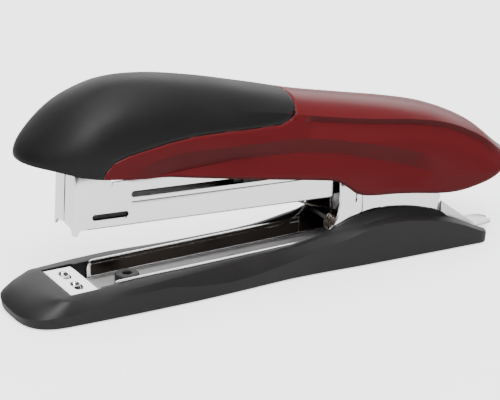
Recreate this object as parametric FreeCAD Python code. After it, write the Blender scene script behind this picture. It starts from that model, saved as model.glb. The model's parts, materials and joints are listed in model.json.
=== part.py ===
import FreeCAD, Part
import math
import os
from FreeCAD import Placement, Rotation, Vector

# A full-strip desk stapler, in millimetres. While a piece is made, X = 0 is the front edge
# of the anvil plate and +X runs to the rear hinge, Y = 0 is the middle, and Z = 0 is the table.
# save() moves everything so that the origin is under the middle of the whole stapler.

# ---- overall sizes
nose_x = -12.0            # foremost point of the handle
tail_x = 163.0            # rearmost point of the handle
handle_half_width = 18.0
base_front_x = -15.5      # foremost point of the base
base_rear_x = 152.0
base_margin = 6.4         # how far the base reaches beyond the channel's side

# ---- fits and stock
sheet = 0.8               # steel sheet of the channel, bracket, housing and handle frame
play = 0.3                # clearance between pieces that move past each other
seat = 0.1                # clearance of a piece that is seated in another
pin_fit = 0.05            # radial running clearance on the hinge pin
strip_gap = 0.25          # between the staples' legs and the housing's wall
frame_gap = 0.3           # between the housing's side and the frame's wall
channel_gap = 0.4         # between the frame's wall and the channel's wall
pad_proud = 0.5           # how far the rubber pads stand below the base cover

# ---- hinge and angles
hinge_x = 128.0
hinge_z = 16.0
pin_radius = 2.0
ear_radius = 5.0
channel_rise = 1.25       # degrees, the channel climbs to the rear
magazine_rest = 2.3       # degrees nose up
drive_angle = 3.7         # degrees from rest to driven

# ---- anvil and channel, in the channel's own level frame
anvil_z = 8.2             # top of the anvil plate at its front edge
anvil_length = 9.9
anvil_thick = 1.0
pocket_pitch = 8.6
pocket_radius = 2.3
pocket_lift = 1.9         # how far the pocket's centre lies above the plate
channel_floor_z = 2.9     # underside of the channel floor
channel_wall_z = 9.3      # top edge of the channel walls
wall_front_x = 14.5
upright_x = 95.4          # front edge of the uprights
upright_top_z = 27.0
cheek_x = 103.9           # front edge of the hinge bracket's cheeks
cheek_rear_x = 134.2
wall_corner = 2.6         # radius of the walls' front corner

# ---- staples (24/6)
crown = 12.9
leg = 6.0
wire = 0.5
strip_length = 52.0

# ---- magazine, in its own frame: s to the rear, h up from the housing's underside
hinge_s = 125.5
hinge_drop = 5.85         # the hinge lies this far below the housing's underside
housing_length = 91.0
housing_high = 17.5       # height at the front
housing_low = 14.6        # height behind the step
front_gap = 0.7
foot_drop = 1.5
blade_thick = 0.6
blade_lead = 0.15         # gap between the driven blade and the front wall
strip_s = 2.4
guide_s = 3.4             # front face of the blade guide
guide_length = 2.4
slot_s = 18.6
slot_h = 9.0
slot_high = 2.0
window_s = 5.8
window_h = 3.0
window_length = 12.2
window_high = 1.9
pusher_length = 12.0
rod_radius = 1.0
pusher_coil_radius = 2.0
pusher_wire = 0.5
pusher_turns = 15
rod_stop_s = 88.0

# ---- handle
cover_wall = 2.2
grip_thick = 1.4
frame_top_front = 58.0
frame_rear_x = 118.0      # rear end of the frame's top plate
boss_places = [(22.0, 4.0), (66.0, 4.0)]          # x and radius of the cover's screw bosses
screw_radius = 1.2
screw_head = 2.6
screw_head_high = 1.45
spring_rivet_x = 76.0
spring_rivet_radius = 1.2
leaf_half = 4.0
leaf_thick = 0.6

# ---- small parts
bumper_x = 24.0
bumper_radius = 3.85
bumper_bore = 1.45
bumper_high = 3.2
lift_coil_radius = 3.0
lift_wire = 1.0
lift_turns = 6
lift_x = 97.2
lift_z = 12.9
rivet_radius = 1.5
rivet_head = 2.6
rivet_head_high = 0.7
rivet_places = [62.0, 112.0]
spring_pin_radius = 0.85
pads = [(-6.0, 34.0), (104.0, 142.0)]             # x of each rubber pad's ends
pad_half = 8.5
pad_deep = 1.2
pad_corner = 3.0
remover_front_x = 120.0
remover_z = 5.3           # top of the remover's strap under the channel
tongue_z = 2.9            # top of its tongue
tongue_tip_x = 161.0
blade_rivet_radius = 0.95

# ---- values that follow
hinge = Vector(hinge_x, 0, hinge_z)
strip_top = sheet + 0.1 + leg
rail_half = crown / 2 - wire - 0.2
rail_top = strip_top - wire - 0.15
rod_h = rail_top + play + pusher_coil_radius + pusher_wire / 2
blade_s = sheet + blade_lead
inner_half = crown / 2 + strip_gap
housing_width = 2 * (inner_half + sheet)
frame_half = housing_width / 2 + frame_gap + sheet
channel_half = frame_half + channel_gap + sheet
base_half_width = channel_half + base_margin
anvil_width = 2 * channel_half + 2.0
spring_pin_x = lift_x
spring_pin_z = lift_z - lift_x * math.tan(math.radians(channel_rise))
blade_rivet_z = frame_top_front - 2.6
span_mid_x = (base_front_x + tail_x) / 2


# ---------------------------------------------------------------- helpers
def box(x0, x1, y0, y1, z0, z1):
    return Part.makeBox(x1 - x0, y1 - y0, z1 - z0, Vector(x0, y0, z0))


def rod_y(radius, x, z, y0, y1):
    return Part.makeCylinder(radius, y1 - y0, Vector(x, y0, z), Vector(0, 1, 0))


def rod_z(radius, x, y, z0, z1):
    return Part.makeCylinder(radius, z1 - z0, Vector(x, y, z0), Vector(0, 0, 1))


def side_plate(points, y0, y1):
    """A flat plate whose outline is drawn in X and Z, between two Y planes."""
    corners = [Vector(x, y0, z) for x, z in points]
    return Part.Face(Part.makePolygon(corners + corners[:1])).extrude(Vector(0, y1 - y0, 0))


def both_sides(shape):
    return [shape, shape.mirror(Vector(0, 0, 0), Vector(0, 1, 0))]


def slot_y(x0, x1, z0, z1, reach):
    """A long hole with round ends, cut along Y through both walls."""
    r = (z1 - z0) / 2
    middle = box(x0 + r, x1 - r, -reach, reach, z0, z1)
    ends = [rod_y(r, x, z0 + r, -reach, reach) for x in (x0 + r, x1 - r)]
    return middle.fuse(ends)


def turned(shape, degrees, centre):
    """Turns a shape about Y through centre. A positive angle lifts the front."""
    copy = shape.copy()
    copy.rotate(centre, Vector(0, 1, 0), degrees)
    return copy


def level_to_base(shape):
    """Places a piece drawn level in the channel's own frame."""
    return turned(shape, -channel_rise, Vector(0, 0, anvil_z))


def magazine_place(shape):
    """Places a piece drawn in the magazine's own frame, s and h."""
    copy = shape.copy()
    copy.translate(Vector(hinge_x - hinge_s, 0, hinge_z + hinge_drop))
    return turned(copy, magazine_rest, hinge)


def blend(table, x):
    """Reads a value between the rows of an (x, value) table."""
    for (x0, v0), (x1, v1) in zip(table, table[1:]):
        if x <= x1:
            return v0 + (v1 - v0) * (x - x0) / (x1 - x0)
    return table[-1][1]


def coil_y(radius, wire_size, turns, pitch, x, y, z):
    """A coil whose axis runs along Y."""
    helix = Part.makeHelix(pitch, pitch * turns, radius)
    start = helix.Vertexes[0].Point
    circle = Part.Wire(Part.makeCircle(wire_size / 2, start, Vector(0, 1, 0)))
    coil = Part.Wire(helix.Edges).makePipeShell([circle], True, True)
    coil.rotate(Vector(0, 0, 0), Vector(1, 0, 0), -90)
    coil.translate(Vector(x, y, z))
    return coil


# ---------------------------------------------------------------- base
# half sections of the base: x, deck z, rim y and z, skirt y and z, foot y. The y values are
# measured outwards from the channel's side
base_sections = [
    (-15.5, 5.2, 1.6, 4.8, 6.2, 3.0, 5.8),
    (-8.0, 7.9, 3.4, 7.2, 6.3, 3.6, 6.0),
    (0.0, 8.3, 4.8, 7.9, 6.4, 4.4, 6.1),
    (10.0, 8.7, 5.4, 8.4, 6.4, 6.8, 6.2),
    (24.0, 9.4, 5.4, 8.6, 6.3, 6.9, 6.1),
    (40.0, 9.7, 4.0, 9.1, 5.9, 5.0, 5.8),
    (55.0, 10.1, 3.1, 9.6, 5.5, 4.5, 4.8),
    (75.0, 10.8, 2.9, 10.3, 4.8, 7.1, 3.1),
    (90.0, 12.8, 2.8, 12.2, 4.6, 8.9, 3.2),
    (104.0, 15.2, 2.4, 14.7, 4.7, 12.2, 3.9),
    (116.0, 15.6, 2.4, 15.1, 4.8, 13.0, 4.1),
    (130.0, 13.0, 2.4, 12.6, 4.8, 11.6, 4.3),
    (141.0, 9.0, 2.4, 8.7, 4.8, 8.2, 4.4),
    (152.0, 3.6, 2.2, 3.4, 5.0, 2.9, 4.7),
]
deck_out = 0.6            # inner edge of the deck, outwards from the channel's side


def base_body():
    """The outer form of the base: stretched sections inside a rounded plan."""
    wires = []
    for x, deck, rim_y, rim_z, skirt_y, skirt_z, foot_y in base_sections:
        half = [(deck_out, deck), (rim_y, rim_z), (skirt_y, skirt_z), (foot_y, pad_proud)]
        right = [Vector(x, channel_half + y, z) for y, z in half]
        left = [Vector(x, -channel_half - y, z) for y, z in reversed(half)]
        wires.append(Part.makePolygon(right + left + right[:1]))
    body = Part.makeLoft(wires, True, False)
    return body.common(base_plan())


def base_plan():
    """The rounded outline of the base seen from above."""
    w = base_half_width
    f, r = base_front_x, base_rear_x
    edges = [
        Part.Arc(Vector(f + 4, -w + 4.2, 0), Vector(f, 0, 0), Vector(f + 4, w - 4.2, 0)),
        Part.Arc(Vector(f + 4, w - 4.2, 0), Vector(f + 7, w - 1.2, 0), Vector(f + 14, w, 0)),
        Part.LineSegment(Vector(f + 14, w, 0), Vector(r - 4, w, 0)),
        Part.Arc(Vector(r - 4, w, 0), Vector(r - 0.6, w - 2.6, 0), Vector(r, w - 6, 0)),
        Part.LineSegment(Vector(r, w - 6, 0), Vector(r, 6 - w, 0)),
        Part.Arc(Vector(r, 6 - w, 0), Vector(r - 0.6, 2.6 - w, 0), Vector(r - 4, -w, 0)),
        Part.LineSegment(Vector(r - 4, -w, 0), Vector(f + 14, -w, 0)),
        Part.Arc(Vector(f + 14, -w, 0), Vector(f + 7, 1.2 - w, 0), Vector(f + 4, 4.2 - w, 0)),
    ]
    plan = Part.Face(Part.Wire([e.toShape() for e in edges]))
    return plan.extrude(Vector(0, 0, upright_top_z))


def channel_recess():
    """The space in the base cover for the anvil, the channel, the bracket and the remover."""
    half = channel_half + seat * 2
    channel = box(anvil_length + seat, cheek_rear_x + 1, -half, half,
                  channel_floor_z - seat, upright_top_z)
    plate = box(-seat, anvil_length + 2 * seat, -anvil_width / 2 - seat, anvil_width / 2 + seat,
                anvil_z - anvil_thick - seat, upright_top_z)
    floor = [(remover_front_x - seat, remover_z), (cheek_rear_x + 2, remover_z),
             (base_rear_x - 5, tongue_z + 0.4), (base_rear_x + 1, tongue_z)]
    under = [(x, z - sheet - seat) for x, z in floor]
    remover = side_plate(under + [(base_rear_x + 1, 30), (remover_front_x - seat, 30)], -half, half)
    return level_to_base(channel.fuse(plate)).fuse(remover)


def rivet_foot(x):
    """Lower end of a channel rivet, in the channel's own frame."""
    return pad_proud + seat - x * math.tan(math.radians(channel_rise))


def rivet_clearance(x):
    """The room that a channel rivet takes in the base cover and in a pad."""
    top = rivet_foot(x) + rivet_head_high + seat
    shank = rod_z(rivet_radius + seat, x, 0, top - 4, top + 10)
    return level_to_base(shank.fuse(rod_z(rivet_head + seat, x, 0, top - 4, top)))


def base_cover():
    body = base_body().cut(channel_recess())
    for x0, x1 in pads:
        body = body.cut(box(x0, x1, -pad_half, pad_half, 0, pad_proud + pad_deep))
    for x in rivet_places:
        body = body.cut(rivet_clearance(x))
    return body


def base_pads():
    solids = []
    for x0, x1 in pads:
        pad = box(x0 + seat, x1 - seat, -pad_half + seat, pad_half - seat, 0, pad_proud + pad_deep)
        pad = pad.makeFillet(pad_corner, [e for e in pad.Edges if abs(e.tangentAt(0).z) > 0.9])
        for x in rivet_places:
            pad = pad.cut(rivet_clearance(x))
        solids.append(pad)
    return Part.makeCompound(solids)


def anvil_plate():
    """The clinching plate, its sides folded down, with one pair of pockets."""
    half = anvil_width / 2
    plate = box(0, anvil_length, -half, half, anvil_z - anvil_thick, anvil_z)
    plate = plate.makeFillet(0.6, [e for e in plate.Edges if abs(e.tangentAt(0).x) > 0.9
                                   and e.CenterOfMass.z > anvil_z - 0.01])
    for side in (-1, 1):
        centre = Vector(anvil_length / 2, side * pocket_pitch / 2, anvil_z)
        pocket = Part.makeSphere(pocket_radius, centre + Vector(0, 0, pocket_lift))
        plate = plate.cut(pocket)
    return level_to_base(plate)


def channel_wall_outline():
    """One side wall: low along the magazine, then curving up into the upright."""
    z0, z1, x = channel_floor_z, channel_wall_z, wall_front_x
    r = wall_corner
    corner = [(x + r - r * math.cos(math.radians(a)), z1 - r + r * math.sin(math.radians(a)))
              for a in range(0, 91, 15)]
    rise = [(upright_x - 7, z1), (upright_x - 4.4, z1 + 0.7), (upright_x - 2.2, z1 + 2.6),
            (upright_x - 0.7, z1 + 5.4), (upright_x, z1 + 8.6)]
    return [(x, z0)] + corner + rise + [(upright_x, upright_top_z), (cheek_x - 0.4, upright_top_z),
                                        (cheek_x - 0.4, z0)]


def base_channel():
    half = channel_half
    floor = box(anvil_length + seat * 2, cheek_rear_x - 3, -half, half,
                channel_floor_z, channel_floor_z + sheet)
    walls = both_sides(side_plate(channel_wall_outline(), half - sheet, half))
    body = floor.fuse(walls).removeSplitter()
    body = body.cut(rod_y(spring_pin_radius + pin_fit, spring_pin_x, spring_pin_z, -half, half))
    for x in rivet_places:
        body = body.cut(rod_z(rivet_radius + seat, x, 0, 0, 10))
    return level_to_base(body)


def hinge_bracket():
    """The U bracket that stands on the channel floor and carries the hinge pin."""
    half = channel_half
    z0 = channel_floor_z + sheet
    floor = box(cheek_x, cheek_rear_x, -half, half, z0, z0 + sheet)
    outline = [(cheek_x, z0), (cheek_x, upright_top_z), (cheek_x + 8, upright_top_z),
               (cheek_rear_x - 3, 21.0), (cheek_rear_x, 15.6), (cheek_rear_x, z0)]
    body = floor.fuse(both_sides(side_plate(outline, half - sheet, half))).removeSplitter()
    for x in rivet_places:
        body = body.cut(rod_z(rivet_radius + seat, x, 0, 0, 10))
    body = level_to_base(body)
    return body.cut(rod_y(pin_radius + pin_fit, hinge_x, hinge_z, -half - 1, half + 1))


def staple_remover():
    """The strap under the hinge whose tongue sticks out behind the base."""
    half = channel_half
    line = [(remover_front_x, remover_z), (cheek_rear_x + 2, remover_z), (base_rear_x - 5, tongue_z + 0.4),
            (base_rear_x, tongue_z), (tongue_tip_x, tongue_z)]
    strip = side_plate(line + [(x, z - sheet) for x, z in reversed(line)], -half, half)
    plan = [(remover_front_x, half - sheet), (base_rear_x - 6, half - sheet), (base_rear_x - 3, 4.6),
            (tongue_tip_x - 2, 3.6), (tongue_tip_x, 2.2)]
    rim = [Vector(x, y, 0) for x, y in plan] + [Vector(x, -y, 0) for x, y in reversed(plan)]
    strip = strip.common(Part.Face(Part.makePolygon(rim + rim[:1])).extrude(Vector(0, 0, 20)))
    front, rear = cheek_rear_x + 0.4, base_rear_x - 1.5
    flange = [(front, remover_z - sheet), (front, 16.4), (rear, tongue_z + 1.2),
              (rear, tongue_z - sheet + 0.4),
              (base_rear_x - 5, tongue_z - sheet + 0.4), (cheek_rear_x + 2, remover_z - sheet)]
    return strip.fuse(both_sides(side_plate(flange, half - sheet, half))).removeSplitter()


def channel_rivets():
    """Two rivets that hold the channel, and the bracket on it, down to the base cover."""
    solids = []
    for x, stack in zip(rivet_places, (sheet, 2 * sheet)):
        top, foot = channel_floor_z + stack, rivet_foot(x)
        shank = rod_z(rivet_radius, x, 0, foot, top + rivet_head_high)
        heads = [rod_z(rivet_head, x, 0, z, z + rivet_head_high) for z in (top, foot)]
        solids.append(shank.fuse(heads).removeSplitter())
    return level_to_base(Part.makeCompound(solids))


def magazine_bumper():
    z0 = channel_floor_z + sheet + 0.02
    ring = rod_z(bumper_radius, bumper_x, 0, z0, z0 + bumper_high)
    ring = ring.makeFillet(0.5, [e for e in ring.Edges if e.CenterOfMass.z > z0 + 1
                                 and abs(e.Length - 2 * math.pi * bumper_radius) < 0.1])
    return level_to_base(ring.cut(rod_z(bumper_bore, bumper_x, 0, z0 - 1, z0 + 9)))


def hinge_pin():
    """Flush with the bracket. The walls of the base cover beside the bracket keep it in."""
    return rod_y(pin_radius, hinge_x, hinge_z, -channel_half, channel_half)


def spring_pin():
    return level_to_base(rod_y(spring_pin_radius, spring_pin_x, spring_pin_z, -channel_half, channel_half))


def lift_spring():
    """The torsion spring that lifts the magazine: one leg on the floor, one under the rail."""
    pitch = lift_wire + 0.12
    length = pitch * lift_turns
    y0 = -channel_half + sheet + play + lift_wire / 2
    coil = coil_y(lift_coil_radius, lift_wire, lift_turns, pitch, lift_x, y0, lift_z)
    low = leg_run(Vector(lift_x + lift_coil_radius, y0, lift_z), Vector(lift_x - 6, y0, 7.0))
    high_y = y0 + length
    high = leg_run(Vector(lift_x + lift_coil_radius, high_y, lift_z),
                   Vector(lift_x - 14, high_y, 22.3))
    return coil.fuse([low, high])


def leg_run(start, end):
    return Part.makeCylinder(lift_wire / 2, (end - start).Length, start, end - start)


# ---------------------------------------------------------------- magazine
def magazine_housing():
    """The outer sheet-steel housing: floor, sides and a front folded from both sides."""
    half = housing_width / 2
    inner = half - sheet
    high, low = housing_high, housing_low
    wall = [(0, 0), (0, high), (9, high), (12, low), (housing_length, low), (housing_length, 0)]
    foot = [(0, 0.2), (0.2, -foot_drop), (1.0, -foot_drop), (1.8, 0.2)]
    floor = box(sheet, housing_length, -half, half, 0, sheet)
    front = box(0, sheet, front_gap / 2, half, 0.8, high)
    shell = floor.fuse(both_sides(side_plate(wall, inner, half))
                       + both_sides(side_plate(foot, inner, half)) + both_sides(front))
    shell = shell.removeSplitter()
    upright = [e for e in shell.Edges if abs(e.CenterOfMass.x) < 0.01 and abs(e.tangentAt(0).z) > 0.9
               and abs(abs(e.CenterOfMass.y) - half) < 0.01 and e.Length > 5]
    shell = shell.makeFillet(sheet * 0.9, upright)
    exit_slot = box(sheet, strip_s - 0.2, -inner, inner, -1, sheet + 1)
    guide = slot_y(slot_s, housing_length - 6, slot_h, slot_h + slot_high, half + 1)
    window = slot_y(window_s, window_s + window_length, window_h, window_h + window_high, half + 1)
    belly = box(14, housing_length - 8, -4.0, 4.0, -1, sheet + 0.01)
    return magazine_place(shell.cut(exit_slot).cut(guide).cut(window).cut(belly))


def staple_rail():
    """The inner rail that the staples straddle. Its ears reach down to the hinge pin."""
    outer, inner = rail_half, rail_half - 0.7
    length = hinge_s + ear_radius
    low = sheet + 0.02
    top = box(strip_s, length, -outer, outer, rail_top - 0.7, rail_top)
    side = [(strip_s, low), (strip_s, rail_top), (length, rail_top), (length, -hinge_drop),
            (length - 2, -hinge_drop - ear_radius + 1), (hinge_s - 3, -hinge_drop - ear_radius + 1),
            (hinge_s - 9, low)]
    body = top.fuse(both_sides(side_plate(side, inner, outer))).removeSplitter()
    return magazine_place(body.cut(rod_y(pin_radius + pin_fit, hinge_s, -hinge_drop, -9, 9)))


def staple_strip():
    """The loaded strip: a row of U staples glued side by side, as one comb."""
    s1 = strip_s + strip_length
    half = crown / 2
    z0, z1 = sheet + 0.1, strip_top
    row = box(strip_s, s1, -half, half, z0, z1)
    row = row.cut(box(strip_s - 1, s1 + 1, -half + wire, half - wire, z0 - 1, z1 - wire))
    return magazine_place(row)


def blade_guide():
    """The block behind the driver blade. It also holds the front end of the guide rod."""
    block = box(guide_s, guide_s + guide_length, -inner_half + seat, inner_half - seat,
                strip_top + play, housing_high - 4)
    hole = Part.makeCylinder(rod_radius + 0.02, 9, Vector(guide_s - 1, 0, rod_h), Vector(1, 0, 0))
    return magazine_place(block.cut(hole))


def guide_rod():
    end = rod_stop_s + sheet
    rod = Part.makeCylinder(rod_radius, end - guide_s, Vector(guide_s, 0, rod_h), Vector(1, 0, 0))
    knob = Part.makeCylinder(rod_radius + 0.8, 0.8, Vector(end, 0, rod_h), Vector(1, 0, 0))
    return magazine_place(rod.fuse(knob).removeSplitter())


def rod_stop():
    """The bent plate across the rear of the housing that the pusher spring leans on."""
    half = inner_half - seat
    plate = box(rod_stop_s, rod_stop_s + sheet, -half, half, rail_top + 0.05, housing_low - 1)
    foot = box(rod_stop_s - 5, rod_stop_s + sheet, rail_half + seat, half, sheet + 0.05, rail_top + 0.6)
    body = plate.fuse(both_sides(foot)).removeSplitter()
    hole = Part.makeCylinder(rod_radius + 0.02, 9, Vector(rod_stop_s - 4, 0, rod_h), Vector(1, 0, 0))
    return magazine_place(body.cut(hole))


def pusher():
    """The block behind the strip. It straddles the rail, and its tabs run in the side slots."""
    s0 = strip_s + strip_length + 0.05
    s1 = s0 + pusher_length
    half = inner_half - play
    block = box(s0, s1, -half, half, sheet + play, rod_h + 1.9)
    saddle = box(s0 - 1, s1 + 1, -rail_half - 0.12, rail_half + 0.12, 0, rail_top + 0.12)
    tabs = box(s0 + 3, s1 - 3, -housing_width / 2 + 0.1, housing_width / 2 - 0.1,
               slot_h + 0.25, slot_h + slot_high - 0.25)
    bore = Part.makeCylinder(rod_radius + 0.1, 30, Vector(s0 - 1, 0, rod_h), Vector(1, 0, 0))
    return magazine_place(block.cut(saddle).fuse(tabs).cut(bore).removeSplitter())


def pusher_spring():
    s0 = strip_s + strip_length + pusher_length + 0.4
    room = rod_stop_s - s0 - 0.3
    pitch = (room - pusher_wire) / pusher_turns
    coil = coil_y(pusher_coil_radius - pusher_wire / 4, pusher_wire, pusher_turns, pitch, 0, 0, 0)
    coil.rotate(Vector(0, 0, 0), Vector(0, 0, 1), -90)
    coil.translate(Vector(s0 + pusher_wire / 2, 0, rod_h))
    return magazine_place(coil)


def hinge_bushes():
    """Two spacer bushes on the pin between the rail's ears and the handle frame's ears."""
    y0, y1 = rail_half + play, frame_half - sheet - play
    ring = rod_y(pin_radius + 1.6, hinge_x, hinge_z, y0, y1)
    ring = ring.cut(rod_y(pin_radius + pin_fit, hinge_x, hinge_z, 0, 20))
    return Part.makeCompound(both_sides(ring))


# ---------------------------------------------------------------- handle
# half sections of the handle: x, lowest z, bulge y and z, shoulder y and z, top z
handle_sections = [
    (-12.0, 46.0, 13.6, 49.6, 5.0, 51.0, 51.6),
    (-8.0, 43.0, 15.2, 50.4, 8.2, 54.0, 55.8),
    (-3.0, 40.0, 16.4, 51.2, 10.4, 57.8, 60.6),
    (5.0, 37.0, 17.5, 51.4, 12.6, 61.8, 66.8),
    (16.0, 34.0, 18.0, 50.8, 13.6, 64.6, 70.6),
    (30.0, 31.0, 18.0, 49.4, 13.9, 64.4, 70.6),
    (48.0, 27.0, 18.0, 46.4, 14.0, 61.2, 67.6),
    (66.0, 24.0, 18.0, 42.6, 14.0, 57.9, 63.2),
    (84.0, 20.0, 17.9, 38.6, 13.9, 54.0, 58.4),
    (102.0, 17.0, 17.6, 33.6, 13.7, 50.6, 54.6),
    (120.0, 15.0, 17.0, 29.2, 13.3, 47.6, 50.6),
    (134.0, 14.0, 16.4, 27.0, 12.9, 44.2, 46.6),
    (146.0, 13.5, 15.8, 26.4, 12.4, 38.2, 40.6),
    (156.0, 13.0, 15.0, 25.6, 11.8, 30.8, 33.0),
    (163.0, 13.0, 14.0, 23.6, 11.0, 26.0, 27.4),
]
rim_line = [(-12.5, 50.2), (-6.0, 49.4), (3.0, 47.0), (21.0, 44.2), (42.0, 40.8), (62.0, 37.3),
            (84.5, 33.4), (90.0, 32.0), (93.6, 29.6), (97.0, 27.0), (113.0, 24.2), (131.0, 21.6),
            (138.0, 21.3), (144.0, 22.0), (151.0, 23.4), (158.0, 25.0), (164.5, 26.4)]
# where the soft grip meets the hard cover, seen from the side
grip_line = [(6.5, 46.0), (12.0, 51.2), (21.0, 53.3), (39.0, 55.8), (53.0, 55.8), (67.5, 55.0),
             (71.5, 56.8), (75.0, 60.2), (78.5, 63.5)]


def handle_form(inset):
    """The handle's outer form, brought in by inset all round."""
    grow = handle_half_width / 18.0
    wires = []
    for x, low, bulge_y, bulge_z, shoulder_y, shoulder_z, top in handle_sections:
        a, b = bulge_y * grow - inset, shoulder_y * grow - inset * 0.8
        edges = [
            Part.LineSegment(Vector(x, -a, low), Vector(x, a, low)),
            Part.LineSegment(Vector(x, a, low), Vector(x, a, bulge_z)),
            Part.LineSegment(Vector(x, a, bulge_z), Vector(x, b, shoulder_z - inset * 0.6)),
            Part.Arc(Vector(x, b, shoulder_z - inset * 0.6), Vector(x, 0, top - inset),
                     Vector(x, -b, shoulder_z - inset * 0.6)),
            Part.LineSegment(Vector(x, -b, shoulder_z - inset * 0.6), Vector(x, -a, bulge_z)),
            Part.LineSegment(Vector(x, -a, bulge_z), Vector(x, -a, low)),
        ]
        wires.append(Part.Wire([e.toShape() for e in edges]))
    form = Part.makeLoft(wires, True, False)
    return form.common(handle_plan(inset))


def handle_plan(inset):
    """The rounded outline of the handle seen from above, brought in by inset."""
    w = handle_half_width - inset
    f, r = nose_x + inset, tail_x - inset
    edges = [
        Part.Arc(Vector(f + 7, -w + 4, 0), Vector(f, 0, 0), Vector(f + 7, w - 4, 0)),
        Part.Arc(Vector(f + 7, w - 4, 0), Vector(f + 11, w - 1.2, 0), Vector(f + 19, w, 0)),
        Part.LineSegment(Vector(f + 19, w, 0), Vector(r - 42, w - 0.9, 0)),
        Part.Arc(Vector(r - 42, w - 0.9, 0), Vector(r - 18, w - 3.2, 0), Vector(r - 6, w - 8.6, 0)),
        Part.Arc(Vector(r - 6, w - 8.6, 0), Vector(r, 0, 0), Vector(r - 6, 8.6 - w, 0)),
        Part.Arc(Vector(r - 6, 8.6 - w, 0), Vector(r - 18, 3.2 - w, 0), Vector(r - 42, 0.9 - w, 0)),
        Part.LineSegment(Vector(r - 42, 0.9 - w, 0), Vector(f + 19, -w, 0)),
        Part.Arc(Vector(f + 19, -w, 0), Vector(f + 11, 1.2 - w, 0), Vector(f + 7, 4 - w, 0)),
    ]
    return Part.Face(Part.Wire([e.toShape() for e in edges])).extrude(Vector(0, 0, 90))


def below_rim():
    """Everything under the handle's lower edge."""
    reach = handle_half_width + 5
    under = [(rim_line[0][0] - 5, rim_line[0][1])] + rim_line + [(tail_x + 9, rim_line[-1][1])]
    return side_plate(under + [(tail_x + 9, 0), (rim_line[0][0] - 5, 0)], -reach, reach)


def grip_region():
    """The side view of the soft grip: over the nose and the front of the top."""
    reach = handle_half_width + 5
    outline = [(nose_x - 5, 40.0), (4.8, 40.0)] + grip_line + [(78.5, 90.0), (nose_x - 5, 90.0)]
    return side_plate(outline, -reach, reach)


def handle_shells():
    """Returns the hard cover and the soft grip that wraps its nose."""
    outer = handle_form(0).cut(below_rim())
    skin = outer.cut(handle_form(grip_thick)).common(grip_region())
    cover = outer.cut(handle_form(cover_wall + grip_thick * 0.5)).cut(skin)
    return largest(cover.fuse(cover_bosses())), largest(skin)


def largest(shape):
    return max(shape.Solids, key=lambda solid: solid.Volume)


def frame_top_z(x):
    """Height of the handle frame's top plate."""
    crest = [(3.0, frame_top_front), (40.0, frame_top_front - 3), (100.0, 40.5), (frame_rear_x, 30.0)]
    return blend(crest, x)


def cover_bosses():
    """Screw bosses that hang from inside the cover's wall down to the frame."""
    within = handle_form(grip_thick + cover_wall / 4)
    bosses = []
    for x, radius in boss_places:
        z0 = frame_top_z(x) + 1.0
        boss = rod_z(radius, x, 0, z0, z0 + 40).common(within)
        bosses.append(boss.cut(rod_z(screw_radius + seat, x, 0, z0 - 1, z0 + 6)))
    return bosses


def cover_screws():
    """Two screws that hold the cover to the frame from below."""
    solids = []
    for x, _ in boss_places:
        under = min(frame_top_z(x - screw_head), frame_top_z(x + screw_head)) - sheet - seat
        shank = rod_z(screw_radius, x, 0, under - 0.1, frame_top_z(x) + 6)
        head = rod_z(screw_head, x, 0, under - screw_head_high, under)
        solids.append(shank.fuse(head).removeSplitter())
    return Part.makeCompound(solids)


def handle_frame():
    """The steel frame inside the handle: an inverted U that carries the blade and the hinge."""
    half = frame_half
    front, rear = blade_front_x() + 1.4, frame_rear_x
    crest = [(x, frame_top_z(x)) for x in (front, 40.0, 100.0, rear)]
    under = [(x, z - sheet) for x, z in reversed(crest)]
    top = side_plate(crest + under, -half, half)
    ear = [(hinge_x + ear_radius, hinge_z + 4.5), (hinge_x + ear_radius, hinge_z - 2.5),
           (hinge_x + 2.5, hinge_z - ear_radius), (hinge_x - 2.5, hinge_z - ear_radius),
           (hinge_x - 5.5, hinge_z - 2.0)]
    lower = [(104.0, 29.5), (92.0, 36.0), (14.0, 44.6), (9.0, 46.6), (front, 53.0)]
    wall = crest + ear + lower
    flange = box(front, front + sheet, -6.4, 6.4, frame_top_front - 5.5, frame_top_z(front))
    body = top.fuse(both_sides(side_plate(wall, half - sheet, half)) + [flange]).removeSplitter()
    body = body.cut(rod_y(pin_radius + pin_fit, hinge_x, hinge_z, -half - 1, half + 1))
    for x, _ in boss_places:
        body = body.cut(rod_z(screw_radius + play, x, 0, 30, 80))
    body = body.cut(rod_z(spring_rivet_radius + pin_fit, spring_rivet_x, 0, 30, 80))
    hole = Part.makeCylinder(blade_rivet_radius + pin_fit, 6, Vector(front - 3, 0, blade_rivet_z),
                             Vector(1, 0, 0))
    return body.cut(hole)


def driver_blade():
    """The blade that drives one staple. Drawn driven, then swung up to its rest."""
    half = crown / 2
    blade = box(blade_s, blade_s + blade_thick, -half, half, 0.1, housing_high + 4)
    tab = box(blade_s, blade_s + blade_thick, -5.0, 5.0, housing_high + 4, housing_high + 6.2)
    blade = magazine_place(blade.fuse(tab).removeSplitter())
    blade = turned(blade, drive_angle, hinge)
    hole = Part.makeCylinder(blade_rivet_radius + 2 * pin_fit, 20, Vector(-2, 0, blade_rivet_z),
                             Vector(1, 0, 0))
    return blade.cut(hole)


def blade_front_x():
    """X of the blade's upper end at rest."""
    return driver_blade().BoundBox.XMax


def blade_rivet():
    """It joins the blade, which leans forward, to the frame's upright flange."""
    x = blade_front_x()
    head_x, tail_x0 = x - 1.5, x + 1.4 + sheet + seat
    shank = Part.makeCylinder(blade_rivet_radius, tail_x0 - head_x, Vector(head_x, 0, blade_rivet_z),
                              Vector(1, 0, 0))
    head = Part.makeCylinder(1.5, 0.5, Vector(head_x - 0.3, 0, blade_rivet_z), Vector(1, 0, 0))
    tail = Part.makeCylinder(1.1, 0.6, Vector(tail_x0, 0, blade_rivet_z), Vector(1, 0, 0))
    return shank.fuse([head, tail]).removeSplitter()


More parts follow.
